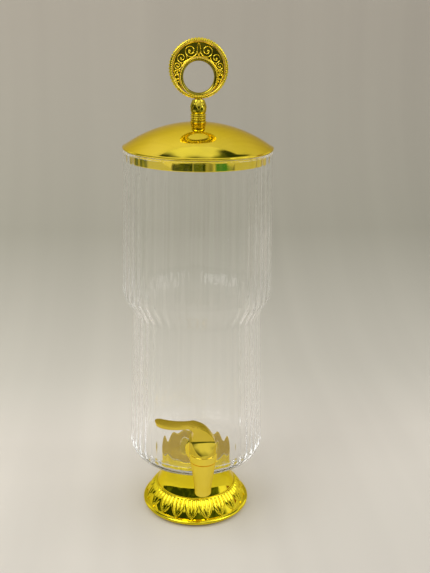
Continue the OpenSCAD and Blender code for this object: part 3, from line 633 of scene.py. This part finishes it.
# Tap
def tap_casting():
    """Spout, raised band and boss, with a groove above and one below the band."""
    neck, foot = BAND_Z - 1, 1.6
    spout = [(SPOUT_BORE_R, SPOUT_Z)] + arc(SPOUT_R - foot, SPOUT_Z + foot, foot, -90, 0, 8)
    spout += [(SPOUT_R + 0.1, SPOUT_Z + 5), (SPOUT_R + 0.55, SPOUT_Z + 12),
              (mix(SPOUT_R + 0.5, BAND_R - 0.6, 0.48), SPOUT_Z + 25),
              (BAND_R - 0.75, neck - 1.9), (BAND_R - 0.75, neck - 1.1),
              (BAND_R - 1.6, neck - 0.9), (BAND_R - 1.6, neck - 0.2)]
    band = [(BAND_R - 0.4, neck), (BAND_R, neck + 0.4), (BAND_R, BAND_TOP - 1.5),
            (BAND_R - 0.9, BAND_TOP - 1.2), (BAND_R - 0.9, BAND_TOP), (CHAMBER_R, BAND_TOP)]
    chamber = [(CHAMBER_R, CHAMBER_Z), (SPOUT_BORE_R, CHAMBER_Z)]
    profile = spout + soften(band, 0.3, 3, closed=False) + chamber
    body = moved(lathe(profile, 128), at(0, -REACH, 0))
    boss = tap_bar(ARM_R, BOSS_Y, REACH - 11.2, 96, 0.3)
    piece("tap_casting", combine(body, boss, "UNION"), "tap_body", 35)


def tap_nipple():
    """Threaded shank, with the bare arm between the rosette and the valve."""
    spigot_r, spigot_y = 6.5, REACH - 10
    pitch, depth = 1.25, 0.45
    face_y = wall_r(TAP_Z) + OUTER_WASHER_T + ROSETTE_T
    end_y = wall_r(TAP_Z) - RIB_DEPTH - WALL - INNER_WASHER_T - STEEL_WASHER_T - NUT_T - 5
    profile = [(PASSAGE_R, end_y), (SHANK_R - 0.5, end_y), (SHANK_R, end_y + 0.5)]
    y = end_y + 1.2
    while y < face_y - 3:
        profile += [(SHANK_R, y), (SHANK_R - depth, y + 0.5), (SHANK_R, y + 1.0)]
        y += pitch
    profile += [(SHANK_R, face_y), (ARM_R, face_y), (ARM_R, BOSS_Y), (spigot_r, BOSS_Y),
                (spigot_r, spigot_y), (PASSAGE_R, spigot_y)]
    piece("tap_nipple", facing_front(profile, 96, TAP_Z), "tap_shank", 35)


def tap_rosette():
    bore_r, y = SHANK_R + 0.1, wall_r(TAP_Z) + OUTER_WASHER_T
    profile = [(bore_r, y), (ROSETTE_R, y), (ROSETTE_R, y + 1.1), (ROSETTE_R - 0.5, y + 2.0),
               (ROSETTE_R - 1.6, y + ROSETTE_T), (bore_r, y + ROSETTE_T)]
    piece("tap_rosette", facing_front(soften(profile, 0.5), 128, TAP_Z), "tap_flange", 40)


def lever_side():
    """Outline from the side: a slanted hub that sweeps up into the thin blade."""
    root, under, fillet = -HUB_R - 0.7, LEVER_H - BLADE_T, 0.6 * HUB_R
    back = HUB_R - root
    steps = 20

    def bend(t):
        return TIP_CURL * t * t - 0.8 * math.sin(math.pi * t)

    outline = [(HUB_R, 0)]
    outline += [(root + back * math.cos(math.radians(a)), LEVER_H * math.sin(math.radians(a)))
                for a in range(3, 91, 3)]
    outline += [(mix(root, -LEVER_LEN, i / steps), LEVER_H + bend(i / steps)) for i in range(1, steps + 1)]
    outline += [(mix(root - 3, -LEVER_LEN, i / steps), under + bend(i / steps))
                for i in range(steps - 1, -1, -1)]
    outline += arc(root - 3, under - fillet, fillet, 90, 24, 10)
    return outline + [(-HUB_R + 2.2, SLANT_H + 1.5), (-HUB_R, SLANT_H - 1), (-HUB_R, 0)]


def lever_end():
    """Outline from the tip: a wide hub, a narrow root and a slightly wider blade."""
    wide = BLADE_TIP_W + 0.4
    half = [(HUB_R + 1, 0), (HUB_R, 0.4), (BLADE_W, SLANT_H), (BLADE_W, SLANT_H + 6),
            (wide, SLANT_H + 12), (wide, LEVER_H + 9)]
    half = soften(half, 1.2, 4, closed=False)
    return half + [(-a, b) for a, b in reversed(half)]


def lever_plan():
    """Outline from above: a round hub and a blade with a round tip."""
    tip, steps = -LEVER_LEN + BLADE_TIP_W, 12
    edge = [(mix(-HUB_R, tip, i / steps), ease(BLADE_W, BLADE_TIP_W, i / steps)) for i in range(1, steps + 1)]
    outline = arc(0, 0, HUB_R, -150, 150, 60) + [(-HUB_R, BLADE_W)] + edge
    outline += arc(tip, 0, BLADE_TIP_W, 90, 270, 24)[1:-1]
    return outline + [(x, -y) for x, y in reversed(edge)] + [(-HUB_R, -BLADE_W)]


def lever_cast():
    """The three outlines cut out of each other, with rounded edges and a thumb hollow near the tip."""
    me = prism(lever_side(), -HUB_R - 1, HUB_R + 1, lambda a, b, d: (a, d, b))
    me = combine(me, prism(lever_end(), -LEVER_LEN - 1, HUB_R + 1, lambda a, b, d: (d, a, b)), "INTERSECT")
    me = combine(me, prism(lever_plan(), -1, LEVER_H + 9, lambda a, b, d: (a, b, d)), "INTERSECT")
    me = bevelled(me, 0.55, 3, 28)
    thumb = lathe([(0, -THUMB_R)] + arc(0, 0, THUMB_R, -88, 88, 60) + [(0, THUMB_R)], 128)
    tilt = Matrix.Rotation(math.radians(10), 4, "Y")
    height = LEVER_H + 3.4 - THUMB_DEPTH + THUMB_R
    thumb = moved(thumb, at(-LEVER_LEN + 1.5 * BLADE_TIP_W, 0, 0) @ tilt @ at(0, 0, height))
    me = combine(me, thumb, "DIFFERENCE")
    # the lever takes its gold with painted shade, darker than the tap
    piece("lever_cast", moved(me, at(0, -REACH, HUB_Z)), "tap_lever", 28, LEVER_SHADE_GOLD)


# Lid
def dome_spun():
    """Dome of sheet metal, with a rolled rim and a flat spot for the finial's washer."""
    centre, in_r, washer_r = DOME_TOP - DOME_R, DOME_R - SHEET, 6.8

    def tilt(reach, r):
        """Angle at which an arc of radius r is at a distance from the axis."""
        return math.degrees(math.acos(reach / r))

    flange_r, flange_z = FLANGE_R + 0.1, UNDER_Z + COLLAR_T
    profile = [(SCREW_HOLE_R, FLAT_Z)]
    profile += arc(0, centre, DOME_R, tilt(STEM_FOOT_R, DOME_R), tilt(RIM_R - RIM_T / 3, DOME_R), 64)
    profile += arc(RIM_R - RIM_T / 2, RIM_Z, RIM_T / 2, 24, -90, 16)
    profile += [(flange_r, RIM_Z - RIM_T / 2), (flange_r, flange_z), (FLANGE_R - SHEET, flange_z)]
    profile += arc(0, centre, in_r, tilt(FLANGE_R - SHEET, in_r), tilt(washer_r, in_r), 40)
    profile += [(SCREW_HOLE_R, centre + math.sqrt(in_r ** 2 - washer_r ** 2))]
    piece("dome_spun", lathe(profile, 320), "lid_dome", 40)


def collar_band():
    low, high, in_r = UNDER_Z - COLLAR_H, UNDER_Z + COLLAR_T, COLLAR_R - 1.2
    outline = [(in_r, low), (COLLAR_R - 0.5, low), (COLLAR_R, low + 0.5), (COLLAR_R, UNDER_Z),
               (FLANGE_R, UNDER_Z), (FLANGE_R, high), (in_r, high)]
    piece("collar_band", lathe(soften(outline, 0.3), 320), "lid_collar", 40)


def lid_gasket():
    in_r, out_r = COLLAR_R + 0.1, MOUTH_R - RIB_DEPTH
    low, high = MOUTH_Z + SEAT_GAP, UNDER_Z - SEAT_GAP
    profile = soften([(in_r, low), (out_r, low), (out_r, high), (in_r, high)], 0.3)
    piece("lid_gasket", lathe(profile, 192), "lid_seal", 40)


# Finial: the stem's heights are from the dome's flat top, and the crescent's from the ring's middle
def belly_r(z):
    """Radius of the stem above its bead rings."""
    t = max(0.0, (z - BEAD_ZONE_H) / (STEM_H - BEAD_ZONE_H))
    belly = STEM_R - STEM_WAIST_R * 0.96
    return mix(STEM_WAIST_R, STEM_NECK_R, t) + belly * math.sin(math.pi * min(1.0, t) ** 0.7)


def stem_turned():
    bore_r, peg_hole_r = 2.55, PEG_R + SEAT_GAP
    bead_levels, bead_r, bead_count = (3.2, 5.5, 7.8), STEM_WAIST_R + 0.55, 22
    foot = [(STEM_R - 0.5, 0), (STEM_FOOT_R, 0.5), (STEM_FOOT_R, 1.3), (STEM_WAIST_R + 0.6, 1.9)]
    profile = [(bore_r, 0)] + soften(foot, 0.4, 3, closed=False)
    for z in bead_levels:
        profile += arc(STEM_WAIST_R, z, 1.0, -80, 80, 12)
    profile += [(belly_r(z), z) for z in steps_between(BEAD_ZONE_H, STEM_H, 30)]
    profile += [(peg_hole_r, STEM_H), (peg_hole_r, STEM_H - 5), (0, STEM_H - 5), (0, 11), (bore_r, 11)]
    beads = []
    for z in bead_levels:
        for k in range(bead_count):
            a = TAU * k / bead_count
            beads.append(bead((bead_r * math.cos(a), bead_r * math.sin(a), z), 0.78))
    me = joined([lathe(profile, 128), many(beads)])
    # the stem takes the finial gold with painted shade, darker than the lid
    piece("stem_turned", moved(me, at(0, 0, FLAT_Z)), "finial_stem", 35, FINIAL_SHADE_GOLD)


def calyx_leaf(mid, spread):
    """A leaf that hugs the stem's belly, with a raised border and midrib: u runs across it and v up."""
    low, high, rows, cols = STEM_H - 10.6, STEM_H - 0.3, 22, 10
    outer, inner = [], []
    for v in steps_between(0, 1, rows):
        z = mix(low, high, v)
        r = belly_r(z)
        width = 0.5 * smooth_step(0.0, 0.62, v) ** 0.8 * (1 - 0.25 * smooth_step(0.7, 1.0, v)) + 0.004
        for i in range(cols + 1):
            u = 2 * i / cols - 1
            a = mid + u * width * spread
            border = 0.28 * math.exp(-((abs(u) - 0.82) / 0.16) ** 2)
            midrib = 0.3 * math.exp(-(u / 0.22) ** 2)
            thick = 0.3 + (border + midrib) * min(1.0, 4 * v)
            out_r = r + SEAT_GAP + thick * (1 - max(0.0, abs(u) - 0.93) * 9)
            outer.append((out_r * math.cos(a), out_r * math.sin(a), z))
            inner.append(((r - 0.1) * math.cos(a), (r - 0.1) * math.sin(a), z))
    n, m = len(outer), cols + 1
    faces = []
    for j in range(rows):
        for i in range(cols):
            p = j * m + i
            faces.append((p, p + 1, p + m + 1, p + m))
            faces.append((n + p, n + p + m, n + p + m + 1, n + p + 1))
    edge = list(range(m)) + [j * m + cols for j in range(1, rows + 1)]
    edge += [rows * m + i for i in range(cols - 1, -1, -1)] + [j * m for j in range(rows - 1, 0, -1)]
    for k, p in enumerate(edge):
        q = edge[(k + 1) % len(edge)]
        faces.append((p, n + p, n + q, q))
    return outer + inner, faces


def calyx_leaves():
    spread = TAU / 6
    leaves = [calyx_leaf(leaf * spread - math.pi / 2, spread) for leaf in range(6)]
    # the leaves take the calyx gold with painted shade, darker still
    piece("calyx_leaves", moved(many(leaves), at(0, 0, FLAT_Z)), "finial_calyx", 50, CALYX_SHADE_GOLD)


def bead_circle(count, r, y, z, size, squash, rings, seg):
    """Beads on a circle that faces the front."""
    angles = [TAU * i / count for i in range(count)]
    return [bead((r * math.cos(a), y, z + r * math.sin(a)), size, squash, rings, seg) for a in angles]


def ring_frame():
    """Beaded outer border, border of the finger hole, its rounded bore and the peg in the stem."""
    half_t = RING_T / 2
    border_in = RING_R - BORDER_W
    edge_bead = math.pi * RING_R / RING_BEADS * 0.86
    out = RING_R - edge_bead * 0.5
    rim = soften([(border_in, -half_t), (out, -half_t), (out, half_t), (border_in, half_t)], 1.2, 5)
    r_out, r_in = HOLE_R + HOLE_BORDER_W, HOLE_R + 2.3
    hole = soften([(r_in, -half_t), (r_out, -half_t), (r_out, half_t), (r_in, half_t)], 0.4)
    frame_mesh = combine(facing_front(rim, 192, RING_Z), facing_front(hole, 160, HOLE_Z), "UNION")
    bore = [(HOLE_R + 2.25 * (1 - math.cos(math.radians(a))), (half_t - 0.15) * math.sin(math.radians(a)))
            for a in range(-90, 91, 9)]
    # the bore takes the recess gold, with painted shade
    piece("ring_bore", facing_front(bore, 160, HOLE_Z), "finial_ring", 40, RECESS_SHADE_GOLD)
    peg = soften([(0, -4.8), (PEG_R, -4.8), (PEG_R, 3.2), (0, 3.2)], 0.3, 2, closed=False)
    peg = moved(lathe(peg, 64), at(0, 0, RING_Z - RING_R))
    beads = bead_circle(RING_BEADS, RING_R - edge_bead, 0, RING_Z, edge_bead, (1, 0.95, 1), 10, 14)
    for face in (-1, 1):
        beads += bead_circle(96, border_in + 1.15, face * (half_t - 0.12), RING_Z, 0.72, (1, 0.9, 1), 6, 10)
        beads += bead_circle(72, HOLE_R + 2.85, face * (half_t - 0.1), HOLE_Z, 0.66, (1, 0.9, 1), 6, 10)
    piece("ring_frame", joined([frame_mesh, peg, many(beads)]), "finial_ring", 40)


def rod(points, half_w, half_t, seg=12):
    """Bar of oval section along a flat path of (x, z) points in the ring's plane, with rounded ends."""
    verts = []
    n = len(points)
    for i, (x, z) in enumerate(points):
        a, b = Vector(points[max(0, i - 1)]), Vector(points[min(n - 1, i + 1)])
        d = (b - a).normalized()
        side = Vector((-d.y, d.x))
        k = math.sqrt(max(0.02, 1 - (1 - min(i, n - 1 - i, 3) / 3) ** 2))
        for j in range(seg):
            across = half_w * k * math.cos(TAU * j / seg)
            depth = half_t * k * math.sin(TAU * j / seg)
            verts.append((x + side.x * across, depth, z + side.y * across))
    faces = side_faces(n, seg)
    faces.append(tuple(range(seg)))
    faces.append(tuple(range(n * seg - 1, (n - 1) * seg - 1, -1)))
    return verts, faces


def arc_rod(r, limit, drop, half_w, half_t):
    """Rod along a circle, from -limit to limit in degrees from its top."""
    return rod([(r * math.sin(math.radians(a)), r * math.cos(math.radians(a)) - drop)
                for a in steps_between(-limit, limit, 120)], half_w, half_t)


def crescent_inner(angle):
    """Distance from the ring's middle to the crescent's inner edge, at an angle from the top."""
    a = math.radians(angle)
    return -DROP * math.cos(a) + math.sqrt(CRESCENT_IN_R ** 2 - (DROP * math.sin(a)) ** 2)


def scroll(angle, side):
    """Spiral with a ball in its eye, or a plain eyelet where the crescent is too narrow for one."""
    near, rad = crescent_inner(angle), math.radians(angle)
    size = (CRESCENT_OUT_R - near) / 2 - 0.75 * SCROLL_W
    cx, cz = (near + CRESCENT_OUT_R) / 2 * math.sin(rad), (near + CRESCENT_OUT_R) / 2 * math.cos(rad)
    if size <= 2.2 * SCROLL_W:
        path = [(size * math.cos(TAU * i / 40), size * math.sin(TAU * i / 40)) for i in range(43)]
        return [rod([(side * (cx + x), cz + z) for x, z in path], SCROLL_W / 2, SCROLL_HALF_T)]
    turn, eye, turns = math.radians(200 - angle), 0.17 * size, 1.5
    path = []
    for s in steps_between(0, 1, 60):
        r = size * (1 - 0.72 * s) + 0.1
        path.append((r * math.cos(TAU * turns * s + turn), r * math.sin(TAU * turns * s + turn)))
    ball = eye + 0.3
    place = (side * (cx - eye * math.cos(turn)), 0, cz - eye * math.sin(turn))
    return [rod([(side * (cx + x), cz + z) for x, z in path], SCROLL_W / 2, SCROLL_HALF_T),
            bead(place, ball, (1, (SCROLL_HALF_T + 0.2) / ball, 1))]


def ring_scrolls():
    """Crescent of scrolls between two rods, with an upright leaf in its middle."""
    half_w = SCROLL_W / 2
    shapes = [arc_rod(CRESCENT_OUT_R - half_w, 146, 0, half_w, SCROLL_HALF_T),
              arc_rod(CRESCENT_IN_R + half_w, 132, DROP, half_w, SCROLL_HALF_T)]
    for angle in (26, 59.5, 83, 99.5, 111, 119):
        for side in (-1, 1):
            shapes += scroll(angle, side)
    low, high = CRESCENT_IN_R - DROP + 0.3 * SCROLL_W, CRESCENT_OUT_R - 0.3 * SCROLL_W
    mid, half = (low + high) / 2, (high - low) / 2
    around = [TAU * i / 48 for i in range(51)]
    leaf = [(0.19 * half * math.sin(a), mid + 0.82 * half * math.cos(a)) for a in around]
    shapes.append(rod(leaf, half_w, SCROLL_HALF_T + 0.3))
    piece("ring_scrolls", moved(many(shapes), at(0, 0, RING_Z)), "finial_filigree", 50)


def ring_plate():
    """Plate between the scrolls, in the recess gold with painted shade."""
    steps, limit, half_t = 120, 156.0, 0.5
    verts, faces = [], []
    for angle in steps_between(-limit, limit, steps):
        near, a = crescent_inner(angle), math.radians(angle)
        for r in (max(near, 0) + 0.2, max(CRESCENT_OUT_R - 0.2, near + 0.3)):
            verts += [(r * math.sin(a), y, r * math.cos(a)) for y in (-half_t, half_t)]
    for i in range(steps):
        p, q = 4 * i, 4 * i + 4
        faces += [(p, q, q + 2, p + 2), (p + 1, p + 3, q + 3, q + 1)]
        faces += [(p, p + 1, q + 1, q), (p + 2, q + 2, q + 3, p + 3)]
    end = 4 * steps
    faces += [(0, 2, 3, 1), (end, end + 1, end + 3, end + 2)]
    piece("ring_plate", moved(mesh_from(verts, faces), at(0, 0, RING_Z)), "finial_filigree", 50, RECESS_SHADE_GOLD)


# The CAD nodes keep their shape and place, and get their material
for name, ob in frame["nodes"].items():
    shade(ob.data, 30)
    ob.data.materials.clear()
    ob.data.materials.append(SEEN.get(name, MAT[SLOT_OF[name]]))

foot_leafwork()
spun_neck()
plated_seat()
seat_pad()
blown_glass()
tap_casting()
tap_nipple()
tap_rosette()
lever_cast()
dome_spun()
collar_band()
lid_gasket()
stem_turned()
calyx_leaves()
ring_frame()
ring_scrolls()
ring_plate()


# Stage, light and camera, in metres
PAPER_HALF_W, FLOOR_FRONT_Y, BEND_Y, BEND_R, PAPER_TOP = 1.0, -0.85, 0.35, 0.55, 2.4
# The map along the paper is 0 at MAP_START in front of the bend, and 1 when MAP_LENGTH further on
MAP_START, MAP_LENGTH = 0.5, 3.4
# Tones along that map, painted light and shade of the sweep: lighter on the floor, darkest in the middle of
# the bend and lighter again up the backdrop
PAPER_PAINTED_SHADE = [(0.0, (0.645, 0.61, 0.555)), (0.03, (0.68, 0.645, 0.585)), (0.06, (0.74, 0.70, 0.635)),
         (0.09, (0.735, 0.695, 0.63)), (0.14, (0.625, 0.60, 0.535)), (0.265, (0.358, 0.344, 0.287)),
         (0.40, (0.41, 0.378, 0.325)), (0.45, (0.45, 0.415, 0.36)), (0.58, (0.60, 0.555, 0.49)),
         (0.85, (0.78, 0.74, 0.68))]


def paper_material():
    """One-sided paper, its colour painted with light and shade: shading along the sweep, soft shade of
    hanging folds and a slightly darker right side.
    """
    m, nt, bsdf = new_material("sweep_paper")
    bsdf.inputs["Roughness"].default_value = 0.9
    bsdf.inputs["Specular IOR Level"].default_value = 0.1
    uv = nt.nodes.new("ShaderNodeTexCoord").outputs["UV"]
    sep = nt.nodes.new("ShaderNodeSeparateXYZ")
    nt.links.new(uv, sep.inputs["Vector"])
    # the ramp paints the light and shade along the sweep
    ramp = nt.nodes.new("ShaderNodeValToRGB")
    while len(ramp.color_ramp.elements) < len(PAPER_PAINTED_SHADE):
        ramp.color_ramp.elements.new(0.5)
    for stop, (position, colour) in zip(ramp.color_ramp.elements, PAPER_PAINTED_SHADE):
        stop.position, stop.color = position, (*colour, 1)
    nt.links.new(sep.outputs["Y"], ramp.inputs["Fac"])
    # painted shade: soft shade of hanging folds, and the right side painted darker
    painted_fold_shade = span(nt, noise_field(nt, 1.0, 2.0, (26.0, 1.2, 1.0), uv), 0.3, 0.7, 0.965, 1.035)
    side = span(nt, sep.outputs["X"], 0.35, 0.72, 1.04, 0.885)
    painted_shade_tone = nt.nodes.new("ShaderNodeVectorMath")
    painted_shade_tone.operation = "SCALE"
    nt.links.new(ramp.outputs["Color"], painted_shade_tone.inputs[0])
    nt.links.new(math_node(nt, "MULTIPLY", painted_fold_shade, side), painted_shade_tone.inputs["Scale"])
    nt.links.new(painted_shade_tone.outputs["Vector"], bsdf.inputs["Base Color"])
    # see-through from its back, so that a view from behind it still shows the object
    one_side = nt.nodes.new("ShaderNodeMixShader")
    nt.links.new(nt.nodes.new("ShaderNodeNewGeometry").outputs["Backfacing"], one_side.inputs["Fac"])
    nt.links.new(bsdf.outputs["BSDF"], one_side.inputs[1])
    nt.links.new(nt.nodes.new("ShaderNodeBsdfTransparent").outputs["BSDF"], one_side.inputs[2])
    nt.links.new(one_side.outputs["Shader"], nt.nodes["Material Output"].inputs["Surface"])
    return m


def paper_sweep():
    """Floor that curves up into the backdrop, as one sheet with its length along the curve kept as a map."""
    line = [(y, 0.0) for y in (FLOOR_FRONT_Y, -0.7, -0.5, -0.25, 0.0, BEND_Y)]
    bend = [math.radians(a) for a in range(5, 91, 5)]
    line += [(BEND_Y + BEND_R * math.sin(a), BEND_R - BEND_R * math.cos(a)) for a in bend]
    line += [(BEND_Y + BEND_R, z) for z in (1.1, 1.8, PAPER_TOP)]
    run = [0.0]
    for a, b in zip(line, line[1:]):
        run.append(run[-1] + math.dist(a, b))
    start = BEND_Y - FLOOR_FRONT_Y - MAP_START
    xs = steps_between(-PAPER_HALF_W, PAPER_HALF_W, 16)
    n = len(xs)
    me = bpy.data.meshes.new("backdrop")
    faces = [(j * n + i, j * n + i + 1, (j + 1) * n + i + 1, (j + 1) * n + i)
             for j in range(len(line) - 1) for i in range(n - 1)]
    me.from_pydata([(x, y, z) for y, z in line for x in xs], [], faces)
    for p in me.polygons:
        p.use_smooth = True
    me.materials.append(paper_material())
    layer = me.uv_layers.new(name="run")
    for loop in me.loops:
        row, column = divmod(loop.vertex_index, n)
        layer.data[loop.index].uv = (column / (n - 1), (run[row] - start) / MAP_LENGTH)
    ob = bpy.data.objects.new("backdrop", me)
    scene.collection.objects.link(ob)


# Tones of the studio round the object
SKY = (0.80, 0.79, 0.76), (0.98, 0.97, 0.94)
DARK = (0.025, 0.04, 0.02), (0.10, 0.13, 0.03)
THROUGH_GLASS = (0.62, 0.605, 0.56)
BEYOND_PAPER = (0.80, 0.78, 0.74)
# Blocks of the room: around from and to, height from and to and softness of the edge, all in degrees,
# and a colour where the block isn't dark. Around is 0 towards -Y, the object's front, and 90 towards +X.
ROOM = [(-185, 185, 76.5, 100, 3, None), (-141, -100, 62, 80, 4, None), (100, 141, 62, 80, 4, None),
        (-146, -100, 40, 66, 4, None), (100, 146, 40, 66, 4, None), (-112, 69, -8, 24, 3, None),
        (-185, 185, -50, -6, 2, (0.56, 0.53, 0.45)), (-45, -12, -34, -8, 4, None), (-8, 14, -34, -8, 3, None),
        (26, 50, -34, -8, 4, (0.04, 0.22, 0.09)), (52, 58, -34, -8, 2, None), (-124, -94, -34, -7, 5, None),
        (95, 110, -20, 20, 3, (0.25, 0.12, 0.06))]


def studio_world():
    """Even soft light. Only mirrored rays meet the blocks that stand for the room behind the camera."""
    world = bpy.data.worlds.new("studio")
    scene.world = world
    world.use_nodes = True
    nt = world.node_tree
    back = nt.nodes["Background"]
    back.inputs["Strength"].default_value = 1.0
    direction = nt.nodes.new("ShaderNodeTexCoord").outputs["Generated"]
    clouds = noise_field(nt, 3.0, 2.0, source=direction)
    sep = nt.nodes.new("ShaderNodeSeparateXYZ")
    nt.links.new(direction, sep.inputs["Vector"])

    def both(a, b):
        return math_node(nt, "MULTIPLY", a, b)

    def window(value, a, b, soft):
        """1 between two angles in degrees, with soft edges, and 0 elsewhere."""
        a, b, soft = math.radians(a), math.radians(b), math.radians(soft)
        rise = span(nt, value, a - soft, a + soft, 0.0, 1.0)
        return both(rise, span(nt, value, b + soft, b - soft, 0.0, 1.0))

    wobble = span(nt, clouds, 0.3, 0.7, -0.07, 0.07)
    bearing = math_node(nt, "ARCTAN2", sep.outputs["X"], both(sep.outputs["Y"], -1.0))
    around = math_node(nt, "ADD", bearing, wobble)
    height = math_node(nt, "ADD", math_node(nt, "ARCSINE", sep.outputs["Z"]), wobble)
    sky = blend_colours(nt, span(nt, clouds, 0.35, 0.65, 0.0, 1.0), *SKY)
    dark = blend_colours(nt, span(nt, clouds, 0.45, 0.6, 0.0, 1.0), *DARK)
    # a diffuse ray keeps the depths of a mirror before it, so depths count only with the ray's own kind
    paths = nt.nodes.new("ShaderNodeLightPath")
    bounced = math_node(nt, "MAXIMUM", paths.outputs["Is Glossy Ray"], paths.outputs["Is Transmission Ray"])
    mirrored = math_node(nt, "MINIMUM", paths.outputs["Glossy Depth"], bounced)
    direct = math_node(nt, "LESS_THAN", paths.outputs["Transmission Depth"], 0.5)
    sky = blend_colours(nt, both(bounced, math_node(nt, "SUBTRACT", 1.0, direct)), sky, THROUGH_GLASS)
    for left, right, low, high, soft, colour in ROOM:
        mask = both(both(window(around, left, right, soft), window(height, low, high, soft)), mirrored)
        if high >= 0:
            mask = both(mask, direct)
        sky = blend_colours(nt, mask, sky, colour or dark)
    sky = blend_colours(nt, paths.outputs["Is Camera Ray"], sky, BEYOND_PAPER)
    nt.links.new(sky, back.inputs["Color"])


def soft_lamp(name, place, size, energy):
    """Square area lamp that faces the middle of the object."""
    light = bpy.data.lights.new(name, "AREA")
    light.shape = "RECTANGLE"
    light.size = light.size_y = size
    light.energy = energy
    light.color = (1, 1, 1)
    ob = bpy.data.objects.new(name, light)
    scene.collection.objects.link(ob)
    ob.location = place
    ob.rotation_euler = (Vector((0, 0, 0.3)) - Vector(place)).to_track_quat("-Z", "Y").to_euler()


def photo_camera():
    """The photograph's view, fitted to the ellipses of the lid's collar and of the foot."""
    place, heading, down, roll = (-0.0623, -0.8477, 0.546), -5.506, 18.4, 0.82
    cam = bpy.data.cameras.new("cam")
    cam.sensor_width = 36
    cam.lens = 52.02
    cam.clip_start = 0.05
    camera = bpy.data.objects.new("cam", cam)
    scene.collection.objects.link(camera)
    camera.location = place
    camera.rotation_mode = "QUATERNION"
    turn = Matrix.Rotation(math.radians(heading), 4, "Z") @ Matrix.Rotation(math.radians(90 - down), 4, "X")
    turn = turn @ Matrix.Rotation(math.radians(roll), 4, "Z")
    camera.rotation_quaternion = turn.to_quaternion()
    scene.camera = camera


paper_sweep()
studio_world()
soft_lamp("key", (-0.9, -0.7, 1.6), 1.0, 9)
soft_lamp("fill", (1.1, -0.6, 1.2), 0.8, 5)
photo_camera()

scene.view_settings.view_transform = "Standard"
# Light needs many bounces to cross the ribs of the near and the far wall
scene.cycles.max_bounces = 32
scene.cycles.transmission_bounces = 32
scene.cycles.glossy_bounces = 32
